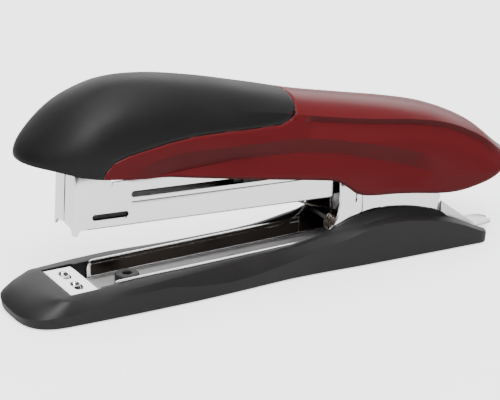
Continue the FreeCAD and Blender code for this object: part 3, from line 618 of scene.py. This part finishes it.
def makeHandleForm():
    bm = bmesh.new()
    rings = loft(bm, [[(x, -y, z) for y, z in handleSection(x)] for x in handleStations()])
    # the runs of x where each line on the side stays sharp
    for index, first, last in ((creaseIndex, 66.0, 166.0), (bandIndex, 66.0, 166.0),
                               (scoopTopIndex, 20.0, 126.0), (scoopFootIndex, 20.0, 126.0)):
        for a, b in zip(rings, rings[1:]):
            edge = bm.edges.get((a[index], b[index]))
            if edge and first < a[0].co.x < last:
                edge.smooth = False
    for distance in (-0.45, 0.0, 0.45, 1.0, 1.8):
        cutAlong(bm, movedLine(handle["grip"], distance))
    return bm


def sinkAlong(bm, depthAt):
    # moves the skin inwards, by a depth for each distance from the joint line
    bmesh.ops.recalc_face_normals(bm, faces=bm.faces)
    bm.normal_update()
    outward = 1 if sum(f.normal.z * f.calc_area() for f in bm.faces) > 0 else -1
    moves = []
    for v in bm.verts:
        share = softStep(aboveRim(v.co), 0.3, 2.5)
        moves.append((v, v.normal * (-depthAt(gripSide(v.co.x, v.co.z)) * outward * share)))
    for vert, move in moves:
        vert.co += move


def mirrorHalf(bm):
    for v in bm.verts:
        if abs(v.co.y) < 1e-4:
            v.co.y = 0.0
    bmesh.ops.mirror(bm, geom=bm.verts[:] + bm.edges[:] + bm.faces[:], axis="Y", merge_dist=1e-3)
    bmesh.ops.remove_doubles(bm, verts=bm.verts, dist=1e-3)
    bmesh.ops.recalc_face_normals(bm, faces=bm.faces)
    if sum(f.normal.z * f.calc_area() for f in bm.faces) < 0:
        bmesh.ops.reverse_faces(bm, faces=bm.faces)


def makeHandle():
    grip = makeHandleForm()
    cover = grip.copy()
    bmesh.ops.delete(grip, geom=[f for f in grip.faces if faceSide(f) < 0], context="FACES")
    # the cover runs on under the grip, but not down at the rim
    hidden = [f for f in cover.faces if faceSide(f) > 0.02 and aboveRim(f.calc_center_median()) < 3.0]
    bmesh.ops.delete(cover, geom=hidden, context="FACES")
    sinkAlong(grip, lambda d: 0.4 * (1 - softStep(d, -0.2, 1.0)))
    sinkAlong(cover, lambda d: handle["gripThick"] + 0.15 if d > 0.4 else 0.3 * softStep(d, -0.5, 0.1))
    for bm in (grip, cover):
        mirrorHalf(bm)
        bmesh.ops.holes_fill(bm, edges=[e for e in bm.edges if e.is_boundary
                                        and abs(e.verts[0].co.x - e.verts[1].co.x) < 1e-6], sides=0)
    coverPiece = finishPiece("handleCover", cover, coverRed, "handle", ["handle_cover"],
                             sharpAngle=None)
    thicken(coverPiece, handle["coverWall"], -1)
    gripPiece = finishPiece("handleGrip", grip, gripRubber, "handle", ["handle_grip"],
                            sharpAngle=None)
    thicken(gripPiece, handle["gripThick"], -1)


makeHandle()
print("handle done")


# base: rings swept from the rear round the nose and back

base = {
    # x, deck z, rim out and z, skirt out and z, foot out; the last two lift the collar beside the bracket
    "rows": [(0.0, 8.5, 4.6, 8.1, 6.4, 4.2, 6.1, 0.0), (10.0, 8.9, 5.2, 8.5, 6.4, 6.6, 6.2, 0.0),
             (24.0, 9.5, 5.3, 9.0, 6.2, 6.9, 6.1, 0.0), (32.0, 9.7, 4.6, 9.2, 5.9, 6.9, 5.9, 0.0),
             (40.0, 9.8, 4.0, 9.3, 5.8, 5.6, 5.7, 0.0), (55.0, 10.2, 3.1, 9.7, 5.5, 4.7, 4.8, 0.0),
             (75.0, 11.0, 2.8, 10.4, 4.8, 7.1, 3.3, 0.0), (88.0, 12.9, 2.7, 12.2, 4.6, 9.6, 3.3, 0.0),
             (95.0, 13.8, 2.6, 13.2, 4.7, 11.0, 3.6, 1.2), (104.0, 14.9, 2.4, 14.3, 4.8, 13.1, 3.9, 2.6),
             (110.0, 15.5, 2.4, 14.9, 4.8, 13.8, 4.0, 2.4), (116.0, 15.4, 2.4, 14.9, 4.8, 13.8, 4.1, 2.1),
             (123.0, 14.4, 2.4, 13.9, 4.8, 12.9, 4.2, 2.0), (130.0, 12.9, 2.4, 12.6, 4.8, 11.6, 4.3, 1.6),
             (134.5, 11.6, 2.4, 11.3, 4.8, 10.4, 4.4, 1.2), (136.5, 10.9, 2.4, 10.6, 4.8, 9.8, 4.4, 0.0),
             (141.0, 9.1, 2.4, 8.8, 4.8, 8.2, 4.4, 0.0), (147.0, 6.1, 2.3, 5.9, 4.9, 5.5, 4.5, 0.0),
             (152.0, 3.9, 2.2, 3.7, 5.0, 3.3, 4.7, 0.0)],
    "noseX": -15.5, "footZ": 0.5, "noseSkirtZ": 2.9, "noseRimX": -7.6, "noseRimZ": 7.7, "rearX": 152.0,
    "cornerRound": 4.0, "recessOut": 0.2, "anvilLength": 9.9, "anvilOut": 1.1, "recessZ": 2.7,
    "rearRecessZ": 1.9,
}


def baseRing(x):
    deck, rimOut, rimZ, skirtOut, skirtZ, footOut, collar = curveThrough(base["rows"], x)
    collar = max(0.0, collar)
    corner = base["cornerRound"]
    back = max(0.0, x - base["rearX"] + corner)
    tuck = corner - math.sqrt(max(0.0, corner ** 2 - back ** 2))
    inner = base["anvilOut"] if x < base["anvilLength"] + 0.2 else base["recessOut"]
    recessZ = base["recessZ"] + (base["rearRecessZ"] - base["recessZ"]) * softStep(x, 134.0, 147.0)
    rimOut = min(rimOut, skirtOut - tuck * 0.9)
    crest = max(inner + 0.25, min(0.75, rimOut - 0.9))
    half = [(footOut - tuck, base["footZ"]), (skirtOut - tuck * 0.97, skirtZ),
            ((skirtOut - tuck + rimOut) / 2, (skirtZ + rimZ) / 2), (rimOut, rimZ),
            (max(inner + 0.9, min(rimOut - 0.35, 1.75)), deck - 0.03), (crest + 0.35, deck + collar * 0.94),
            (crest, deck + collar), (inner, deck + collar), (inner, recessZ)]
    return [(x, channelHalf + out, z) for out, z in half]


def noseRing(degrees):
    # 0 is the middle of the nose, 90 is the side at x = 0
    a = math.radians(degrees)
    side = baseRing(0.0)
    cosine, sine = max(0.0, math.cos(a)), math.sin(a)
    lateral = softStep(degrees, 0, 90)

    def around(frontX, sideY, frontZ, sideZ, power):
        return (frontX * cosine ** power, sideY * sine ** power, frontZ + (sideZ - frontZ) * lateral)

    plateHalf = channelHalf + base["anvilOut"]
    reach = min(plateHalf, 14.0 * math.tan(min(a, 1.5)))
    edgeX = -0.25 if reach < plateHalf else -0.25 * (1 - softStep(degrees, 45, 60))
    noseDeck = side[7][2]
    ring = [around(base["noseX"] + 0.5, side[0][1], base["footZ"], side[0][2], 0.66),
            around(base["noseX"], side[1][1], base["noseSkirtZ"], side[1][2], 0.66),
            around(base["noseX"] * 0.80, side[2][1] + 0.3 * cosine, 5.6, side[2][2], 0.7),
            around(base["noseRimX"], side[3][1], base["noseRimZ"], side[3][2], 0.74)]
    inside = Vector((edgeX, reach, noseDeck))
    rim = Vector(ring[3])
    for share in (0.45, 0.78, 0.9):
        point = rim.lerp(inside, share)
        point.z = noseDeck - (noseDeck - rim.z) * (1 - share) ** 1.8
        ring.append(tuple(point))
    ring += [tuple(inside), (inside.x, inside.y, base["recessZ"])]
    return ring


def makeBase():
    bm = bmesh.new()
    places = ([0.0, 2.5, 5.0, 7.5, 9.9, 10.3] + spaced(12.5, 94.0, 34) + spaced(95.5, 134.5, 26)
              + [135.2, 136.5, 138.0] + spaced(140.0, 148.0, 5) + [149.2, 150.3, 151.1, 151.7, 152.0])
    right = [noseRing(a) for a in range(5, 90, 5)] + [baseRing(x) for x in places]
    left = [[(x, -y, z) for x, y, z in ring] for ring in reversed(right)]
    rings = loft(bm, left + [noseRing(0)] + right)
    feet, floors = [r[0] for r in rings], [r[-1] for r in rings]
    bm.faces.new(feet)
    bm.faces.new(floors)
    bm.faces.new(list(rings[0]) + list(reversed(rings[-1])))
    bmesh.ops.recalc_face_normals(bm, faces=bm.faces)
    corners = []
    for a, b in zip(rings, rings[1:]):
        side = abs(a[1].co.y) > 15.0 or a[1].co.x > 20
        for index in (1, 3, 5, 6, 7):
            if index == 3 and not side:
                continue
            corners.append(bm.edges.get((a[index], b[index])))
    bmesh.ops.bevel(bm, geom=[e for e in corners if e], offset=0.28, offset_type="OFFSET", segments=3,
                    profile=0.5, affect="EDGES", material=-1, clamp_overlap=True)
    finishPiece("baseShell", bm, basePlastic, "base", ["base_cover"], sharpAngle=40)


makeBase()
print("base done")


# folded steel

def foldedTrough(bm, topLine, half, floorZ, radius, holes=()):
    # topLine is the wall's upper edge from front to rear; holes are in x and z on both walls
    flat = half - radius
    arc = radius * math.pi / 2

    def across(z):
        return flat + arc + (z - floorZ - radius)

    edge = [(x, across(z)) for x, z in topLine]
    loops = [edge + [(x, -v) for x, v in reversed(edge)]]
    for hole in holes:
        points = [(x, across(z)) for x, z in hole]
        loops += [points, [(x, -v) for x, v in points]]
    fillOutline(bm, loops, lambda u, v: Vector((u, v, 0)))
    for side in (-1, 1):
        for k in range(7):
            cutAt(bm, "y", side * (flat + arc * k / 6))
    for x in spaced(topLine[0][0] + 5, topLine[-1][0] - 5, 12):
        cutAt(bm, "x", x)
    for vert in bm.verts:
        side = 1 if vert.co.y > 0 else -1
        beyond = abs(vert.co.y) - flat
        if beyond > 0:
            angle = min(beyond / radius, math.pi / 2)
            rise = max(0.0, beyond - arc)
            vert.co.y = side * (flat + radius * math.sin(angle))
            vert.co.z = floorZ + radius * (1 - math.cos(angle)) + rise
        else:
            vert.co.z = floorZ


channel = {"floorZ": 2.9, "wallZ": 9.3, "frontX": 10.1, "wallX": 14.5, "uprightX": 95.4,
           "uprightRear": 103.5, "uprightTop": 27.0, "rearX": 131.0, "bend": 1.1}


def paintedShadeWalls():
    # painted shade on the inside of the walls: a thin dark second skin lies against each of them
    low, high = channel["floorZ"] + sheetThick + 0.4, channel["wallZ"] - 0.25
    front, top = channel["wallX"] + 1.2, channel["uprightTop"] - 0.5
    bm = bmesh.new()
    y = channelHalf - sheetThick - 0.03
    # between the two painted-shade strips a band of bare chrome is left
    streak = high - 1.0
    upright = roundedOutline([(91.1, low, 0.3), (103.0, low, 0.3), (103.0, top, 0.3), (95.9, top, 0.3),
                              (95.7, 15.0, 2.0), (91.1, high, 0.3)], 4)
    for side in (-1, 1):
        for z0, z1 in ((low, streak - 0.25), (streak + 0.1, high)):
            strip = [(front, z0, 0.5), (91.0, z0, 0.5), (91.0, z1, 0.5), (front, z1, 0.5)]
            plate(bm, [roundedOutline(strip, 3)], side * y, side * (y - 0.05))
        plate(bm, [upright], side * y, side * (y - 0.05))
    pointUp(bm)
    finishPiece("channelShadeLining", bm, paintedShadeSteel, "base", [], fromChannel)


def makeChannel():
    z1, x0, up = channel["wallZ"], channel["wallX"], channel["uprightX"]
    low = channel["floorZ"] + 0.05
    corner = [(x0 + 2.6 - 2.6 * math.cos(math.radians(a)), z1 - 2.6 + 2.6 * math.sin(math.radians(a)))
              for a in range(0, 91, 15)]
    rise = [(up - 9.0, z1), (up - 6.4, z1 + 0.5), (up - 4.0, z1 + 1.6), (up - 2.2, z1 + 3.2),
            (up - 0.9, z1 + 5.4), (up - 0.2, z1 + 7.8), (up, z1 + 9.5)]
    rear = channel["uprightRear"]
    top = ([(channel["frontX"], low), (x0 - 0.4, low), (x0, low + 0.5)] + corner + rise
           + [(up, channel["uprightTop"]), (rear, channel["uprightTop"]), (rear, low + 0.5),
              (rear + 0.5, low), (channel["rearX"], low)])
    slit = roundedOutline([(x, z, 0.1) for x, z in
                           [(101.0, 19.2), (101.5, 19.0), (101.75, 20.0), (101.45, 20.9), (101.8, 21.7),
                            (101.5, 23.0), (101.1, 23.2), (101.25, 21.4)]], 2)
    bm = bmesh.new()
    foldedTrough(bm, top, channelHalf, channel["floorZ"], channel["bend"], holes=[slit])
    pointUp(bm)
    for face in bm.faces:
        centre = face.calc_center_median()
        inward = face.normal.z if abs(centre.y) < channelHalf - 0.4 else -face.normal.y * centre.y
        if inward > 0:
            face.normal_flip()
    piece = finishPiece("channelTrough", bm, chromePlate, "base", ["base_channel"],
                        fromChannel, sharpAngle=30)
    piece.data.materials.append(rubbedSteel)
    for polygon in piece.data.polygons:
        if abs(polygon.center.y) < (channelHalf - 1.2) * mm and polygon.center.z < 10 * mm:
            polygon.material_index = 1
    thicken(piece, sheetThick, -1)
    paintedShadeWalls()
    roundEdges(piece, 0.14)


bracket = {"frontX": 103.9, "rearX": 134.2, "topZ": 27.0}


def makeBracket():
    z0 = channel["floorZ"] + sheetThick
    low = z0 + 0.05
    front, rear, top = bracket["frontX"], bracket["rearX"], bracket["topZ"]
    line = [(front, low), (front, top), (front + 8, top), (rear - 3, 21.0), (rear - 0.5, 16.6),
            (rear, 15.2), (rear - 1.2, 11.4), (rear - 1.2, low)]
    bm = bmesh.new()
    foldedTrough(bm, line, channelHalf - 0.02, z0, channel["bend"])
    pointUp(bm)
    piece = finishPiece("hingeBracket", bm, chromePlate, "base", ["hinge_bracket"],
                        fromChannel, sharpAngle=30)
    floorUp = sum(p.normal.z for p in piece.data.polygons) > 0
    thicken(piece, sheetThick, 1 if floorUp else -1)
    roundEdges(piece, 0.14)


makeChannel()
makeBracket()
print("channel and bracket done")


anvil = {"length": 9.9, "top": 8.2, "thick": 0.9, "edge": 0.55, "pocketY": 4.4, "pocketX": 4.95,
         "pocketHalfY": 3.2, "pocketHalfX": 1.55, "deep": 1.15}


def makeAnvil():
    bm = bmesh.new()
    half = channelHalf + 1.0
    bmesh.ops.create_grid(bm, x_segments=48, y_segments=104, size=0.5)
    bmesh.ops.scale(bm, vec=(anvil["length"], 2 * half, 1), verts=bm.verts)
    bmesh.ops.translate(bm, vec=(anvil["length"] / 2, 0, anvil["top"]), verts=bm.verts)
    for vert in bm.verts:
        x, y = vert.co.x, vert.co.y
        side = 1 if y > 0 else -1
        u = (x - anvil["pocketX"]) / anvil["pocketHalfX"]
        v = (y - side * anvil["pocketY"]) / anvil["pocketHalfY"]
        inside = max(0.0, 1 - (u * u + v ** 4))
        hump = 0.75 * math.exp(-((v * side + 0.1) / 0.4) ** 2)
        vert.co.z -= anvil["deep"] * softStep(inside, 0.0, 0.75) * (1 - hump)
        edge = min(x, anvil["length"] - x, half - abs(y))
        vert.co.z -= 0.35 * max(0.0, 1 - edge / anvil["edge"]) ** 2
    top = bm.faces[:]
    made = bmesh.ops.extrude_face_region(bm, geom=top, use_keep_orig=True)
    verts = [g for g in made["geom"] if isinstance(g, bmesh.types.BMVert)]
    for vert in verts:
        vert.co.z = anvil["top"] - anvil["thick"]
    lip = [v for v in verts if abs(v.co.y) > half - 0.5]
    for vert in lip:
        vert.co.z -= 0.3
    pointUp(bm)
    finishPiece("anvilPlate", bm, chromePlate, "base", ["anvil_plate"], fromChannel,
                sharpAngle=50)


makeAnvil()


remover = {"line": [(120.0, 5.3), (136.2, 5.3), (147.0, 3.3), (152.0, 2.9), (161.0, 2.9)], "thick": 0.8,
           "halfWidth": [(120.0, 9.0), (146.0, 9.0), (149.0, 5.6), (152.0, 4.6), (157.5, 4.2),
                         (159.8, 3.5), (160.7, 2.4), (161.0, 1.2)],
           "flange": [(134.6, 4.6, 0), (134.6, 16.4, 0.3), (137.0, 14.5, 0.5), (149.5, 5.6, 0.5),
                      (152.2, 2.6, 0.3), (151.0, 2.1, 0.2), (147.0, 2.5, 0), (136.2, 4.5, 0)]}


def makeRemover():
    bm = bmesh.new()
    rings = []
    places = spaced(120.0, 136.0, 6) + spaced(138.0, 158.0, 20) + [159.0, 159.8, 160.4, 160.8, 161.0]
    for x in places:
        half = straightThrough(remover["halfWidth"], x)
        z = straightThrough(remover["line"], x)
        dish = 0.35 * softStep(x, 152.0, 157.0)
        row = [(x, y * half, z - dish * (1 - y * y)) for y in spaced(-1, 1, 12)]
        under = [(px, py, pz - remover["thick"] * 0.9) for px, py, pz in reversed(row)]
        rings.append(row + under)
    loops = loft(bm, rings, closed=True)
    for ring in (loops[0], loops[-1]):
        bm.faces.new(ring)
    for side in (-1, 1):
        outer = channelHalf - 0.05
        plate(bm, [roundedOutline(remover["flange"], 4)], side * (outer - sheetThick), side * outer)
    for vert in bm.verts:
        if vert.co.z > 2 and abs(vert.co.y) > 8.9 and vert.co.x > 134:
            vert.co.y -= math.copysign(min(0.17 * max(0.0, vert.co.x - 134.6), 3.2), vert.co.y)
    pointUp(bm)
    piece = finishPiece("stapleRemover", bm, satinPlate, "base", ["staple_remover"],
                        sharpAngle=35)
    roundEdges(piece, 0.15)


makeRemover()
print("anvil and remover done")


bumper = {"x": 24.0, "z": 3.72, "radius": 3.85, "bore": 1.45, "high": 3.2, "edge": 0.6}


def makeBumper():
    bm = bmesh.new()
    r0, r1, high = bumper["bore"], bumper["radius"], bumper["high"]
    profile = roundedOutline([(r0, 0, 0.15), (r1, 0, 0.3), (r1, high, bumper["edge"]), (r0, high, 0.35)])
    verts, edges = addChain(bm, [(bumper["x"] + r, 0, bumper["z"] + z) for r, z in profile], closed=True)
    bmesh.ops.spin(bm, geom=verts + edges, cent=(bumper["x"], 0, 0), axis=(0, 0, 1), angle=math.tau,
                   steps=64, use_merge=True)
    pointUp(bm)
    finishPiece("bumperRing", bm, bumperRubber, "base", ["magazine_bumper"], fromChannel)


makeBumper()


# magazine

housing = {"high": 17.5, "low": 14.6, "length": 91.0, "bend": 0.9, "gap": 0.75, "belly": 4.1, "floorS": 4.6,
           "slot": (18.6, 85.0, 9.0, 11.0), "bead": (18.9, 85.0, 7.45, 7.72),
           "window": (5.8, 18.0, 3.0, 4.9)}


def makeHousing():
    half, r = housingHalf, housing["bend"]
    arc = r * math.pi / 2
    flapS = r - arc - (half - r - housing["gap"] / 2)
    floorH = r - arc - (half - r - housing["belly"])
    high, low, rear = housing["high"], housing["low"], housing["length"]
    outline = [(flapS, 0.9, 0.3), (flapS, high - 1.6, 0), (flapS + 1.0, high - 0.15, 0.4), (9.4, high, 0.5),
               (12.1, low, 0.5), (rear, low, 0.4), (rear, floorH, 0), (housing["floorS"], floorH, 0.3),
               (housing["floorS"], 0.35, 0.15), (2.0, 0.3, 0.3), (1.2, -1.35, 0.25), (-0.9, -1.45, 0.3),
               (-2.2, 0.5, 0.4)]
    loops = [roundedOutline(outline, 4), slotOutline(*housing["slot"]), slotOutline(*housing["bead"]),
             slotOutline(*housing["window"])]
    bm = bmesh.new()
    fillOutline(bm, loops, lambda u, v: Vector((u, 0, v)))
    for k in range(7):
        cutAt(bm, "x", r - arc * k / 6)
        cutAt(bm, "z", r - arc * k / 6)
    for s in spaced(8.0, 88.0, 16):
        cutAt(bm, "x", s)
    for vert in bm.verts:
        s, h = vert.co.x, vert.co.z
        y = -half
        if s < r:
            angle = min((r - s) / r, math.pi / 2)
            vert.co.x = r - r * math.sin(angle)
            y = -half + r - r * math.cos(angle) + max(0.0, (r - s) - arc)
        elif h < r:
            # the lower bend runs out before the corner foot, which the blade passes
            curl = softStep(s, housing["floorS"] - 1.6, housing["floorS"])
            angle = min((r - h) / r, math.pi / 2)
            vert.co.z = h + (r - r * math.sin(angle) - h) * curl
            y = -half + (r - r * math.cos(angle) + max(0.0, (r - h) - arc)) * curl
        vert.co.y = y
    bmesh.ops.mirror(bm, geom=bm.verts[:] + bm.edges[:] + bm.faces[:], axis="Y", merge_dist=1e-5)
    bmesh.ops.recalc_face_normals(bm, faces=bm.faces)
    for face in bm.faces:
        centre = face.calc_center_median()
        away = Vector((0, math.copysign(1, centre.y), 0))
        if centre.x < 0.02:
            away = Vector((-1, 0, 0))
        elif centre.z < 0.02:
            away = Vector((0, 0, -1))
        if face.normal.dot(away) < -0.05:
            face.normal_flip()
    piece = finishPiece("magazineHousing", bm, chromePlate, "magazine",
                        ["magazine_housing"], fromMagazine, sharpAngle=30)
    # the inner faces of the housing get painted shade
    thicken(piece, sheetThick * 0.9, -1, paintedShadeSteel)
    roundEdges(piece, 0.13)


staples = {"start": 2.4, "count": 104, "pitch": 0.5, "crown": 12.9, "leg": 6.0, "wire": 0.5, "foot": 0.9,
           "deep": 0.42, "corner": 0.12}


def makeStaples():
    bm = bmesh.new()
    half, w, c = staples["crown"] / 2, staples["wire"], staples["corner"]
    z0, z1 = staples["foot"], staples["foot"] + staples["leg"]
    outline = [(-half, z0), (-half + w, z0), (-half + w, z1 - w), (half - w, z1 - w), (half - w, z0),
               (half, z0), (half, z1 - c), (half - c, z1), (-half + c, z1), (-half, z1 - c)]
    for i in range(staples["count"]):
        s = staples["start"] + i * staples["pitch"]
        slab(bm, [outline], lambda u, v: Vector((s, u, v)), (staples["deep"], 0, 0))
    bmesh.ops.recalc_face_normals(bm, faces=bm.faces)
    # the staples get painted shade
    finishPiece("stapleStrip", bm, stapleShadedWire, "magazine", ["staple_strip"], fromMagazine)


makeHousing()
makeStaples()
print("magazine done")


# springs

def coilSpring(bm, radius, wire, turns, pitch, centre, sides=10):
    # a round wire wound about y
    verts = bmesh.ops.create_circle(bm, segments=sides, radius=wire / 2)["verts"]
    for v, angle in zip(verts, spaced(0, math.tau, sides)):
        v.co = centre + Vector((radius + wire / 2 * math.cos(angle), wire / 2 * math.sin(angle), 0))
    edges = list({e for v in verts for e in v.link_edges})
    steps = int(28 * turns)
    bmesh.ops.spin(bm, geom=verts + edges, cent=centre, axis=(0, 1, 0), angle=math.tau * turns, steps=steps,
                   dvec=(0, pitch * turns / steps, 0), use_merge=False)


def wireRun(bm, points, wire, sides=10):
    rings = []
    for i, p in enumerate(points):
        before, after = Vector(points[max(i - 1, 0)]), Vector(points[min(i + 1, len(points) - 1)])
        turn = (after - before).to_track_quat("Z", "Y")
        rings.append([Vector(p) + turn @ Vector((wire / 2 * math.cos(a), wire / 2 * math.sin(a), 0))
                      for a in spaced(0, math.tau, sides)[:-1]])
    loops = loft(bm, rings, closed=True)
    for ring in (loops[0], loops[-1]):
        bm.faces.new(ring)


lift = {"radius": 3.0, "wire": 0.85, "turns": 6, "pitch": 1.12, "x": 97.2, "z": 12.9}


def makeLiftSpring():
    y0 = -channelHalf + sheetThick + 0.3 + lift["wire"] / 2
    centre = Vector((lift["x"], y0, lift["z"]))
    bm = bmesh.new()
    coilSpring(bm, lift["radius"], lift["wire"], lift["turns"], lift["pitch"], centre)
    bmesh.ops.holes_fill(bm, edges=[e for e in bm.edges if e.is_boundary], sides=0)
    wireRun(bm, [(lift["x"] + 3.0, y0, lift["z"]), (lift["x"] + 1.2, y0, lift["z"] - 2.7),
                 (lift["x"] - 2.0, y0, 8.6), (lift["x"] - 6.0, y0, 7.1)], lift["wire"])
    bmesh.ops.recalc_face_normals(bm, faces=bm.faces)
    finishPiece("liftCoil", bm, springWire, "base", ["lift_spring"], merge=False)
    y1 = y0 + lift["pitch"] * lift["turns"]
    bm = bmesh.new()
    wireRun(bm, [(lift["x"] + 3.0, y1, lift["z"]), (lift["x"] + 2.2, y1, lift["z"] + 2.3),
                 (lift["x"] - 2.0, y1, lift["z"] + 5.2), (lift["x"] - 8.0, y1, 19.6),
                 (lift["x"] - 14.0, y1, 22.3)], lift["wire"])
    bmesh.ops.recalc_face_normals(bm, faces=bm.faces)
    bmesh.ops.subdivide_edges(bm, edges=[e for e in bm.edges if e.calc_length() > 2], cuts=3)
    leg = linkPiece("liftLeg", bm, springWire)
    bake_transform(leg)


makeLiftSpring()
print("springs done")


# the solids that stay as they are get their finish
keptFinish = {"base_pads": padRubber, "channel_rivets": satinPlate, "hinge_pin": chromePlate,
              # the staple rail gets painted shade
              "spring_pin": satinPlate, "staple_rail": railShadedSteel, "blade_guide": basePlastic,
              "guide_rod": satinPlate, "rod_stop": satinPlate, "pusher_spring": springWire,
              "hinge_bushes": satinPlate, "pusher": basePlastic, "cover_screws": satinPlate,
              "handle_frame": satinPlate, "driver_blade": satinPlate, "blade_rivet": satinPlate,
              "handle_spring": springWire, "spring_rivet": satinPlate}
for nodeName, finish in keptFinish.items():
    node = frame["nodes"][nodeName]
    if not node.material_slots:
        node.data.materials.append(finish)
    for materialSlot in node.material_slots:
        materialSlot.material = finish


# stage, light and camera

stage = {"floor": 9.0, "floorTone": (0.9, 0.9, 0.9, 1), "bounceTone": (0.3, 0.3, 0.3, 1), "glow": 1.6,
         "skyTone": (0.95, 0.96, 1.0, 1), "sky": 0.12}


def addFloor():
    bm = bmesh.new()
    bmesh.ops.create_grid(bm, x_segments=4, y_segments=4, size=stage["floor"])
    mesh = bpy.data.meshes.new("floor")
    bm.to_mesh(mesh)
    bm.free()
    floor = bpy.data.objects.new("floor", mesh)
    material, tree, shader = startMaterial("paleFloor", 0.7)
    # the sweep is lit on its own for the lens, and gives the object little light from below
    rays = tree.nodes.new("ShaderNodeLightPath")
    tone = addMix(tree, rays.outputs["Is Diffuse Ray"], stage["floorTone"], stage["bounceTone"])
    tree.links.new(tone, shader.inputs["Base Color"])
    shader.inputs["Emission Color"].default_value = (1, 1, 1, 1)
    glow = addMath(tree, "MULTIPLY", rays.outputs["Is Camera Ray"], stage["glow"])
    tree.links.new(glow, shader.inputs["Emission Strength"])
    mesh.materials.append(material)
    bpy.context.scene.collection.objects.link(floor)


def addLamp(name, place, aim, size, watts):
    lamp = bpy.data.lights.new(name, "AREA")
    lamp.shape, lamp.size, lamp.size_y = "RECTANGLE", size[0], size[1]
    lamp.energy = watts
    holder = bpy.data.objects.new(name, lamp)
    holder.location = place
    holder.rotation_euler = (Vector(aim) - Vector(place)).to_track_quat("-Z", "Y").to_euler()
    bpy.context.scene.collection.objects.link(holder)


def addSky():
    world = bpy.data.worlds.new("softRoom")
    world.use_nodes = True
    back = world.node_tree.nodes["Background"]
    back.inputs["Color"].default_value = stage["skyTone"]
    back.inputs["Strength"].default_value = stage["sky"]
    bpy.context.scene.world = world


view = {"place": (-0.30085, -0.51581, 0.24729), "aim": (-0.0064, 0.0, 0.0243), "roll": 1.335, "lens": 144.0}


def addCamera():
    data = bpy.data.cameras.new("camera")
    data.lens, data.sensor_width = view["lens"], 36.0
    data.clip_start, data.clip_end = 0.01, 20.0
    camera = bpy.data.objects.new("camera", data)
    camera.location = view["place"]
    look = (Vector(view["aim"]) - Vector(view["place"])).to_track_quat("-Z", "Y")
    roll = Matrix.Rotation(math.radians(view["roll"]), 3, "Z")
    camera.rotation_euler = (look.to_matrix() @ roll).to_euler()
    bpy.context.scene.collection.objects.link(camera)
    bpy.context.scene.camera = camera


addFloor()
addLamp("key", (-0.25, -0.62, 1.0), (0, 0, 0.02), (0.8, 0.6), 22)
addLamp("overhead", (0.0, 0.15, 1.2), (0, 0, 0.02), (1.6, 1.1), 16)
addLamp("rearFill", (0.56, 0.98, 0.45), (0, 0, 0.03), (1.7, 0.6), 10)
addSky()
addCamera()
print("stage ready")
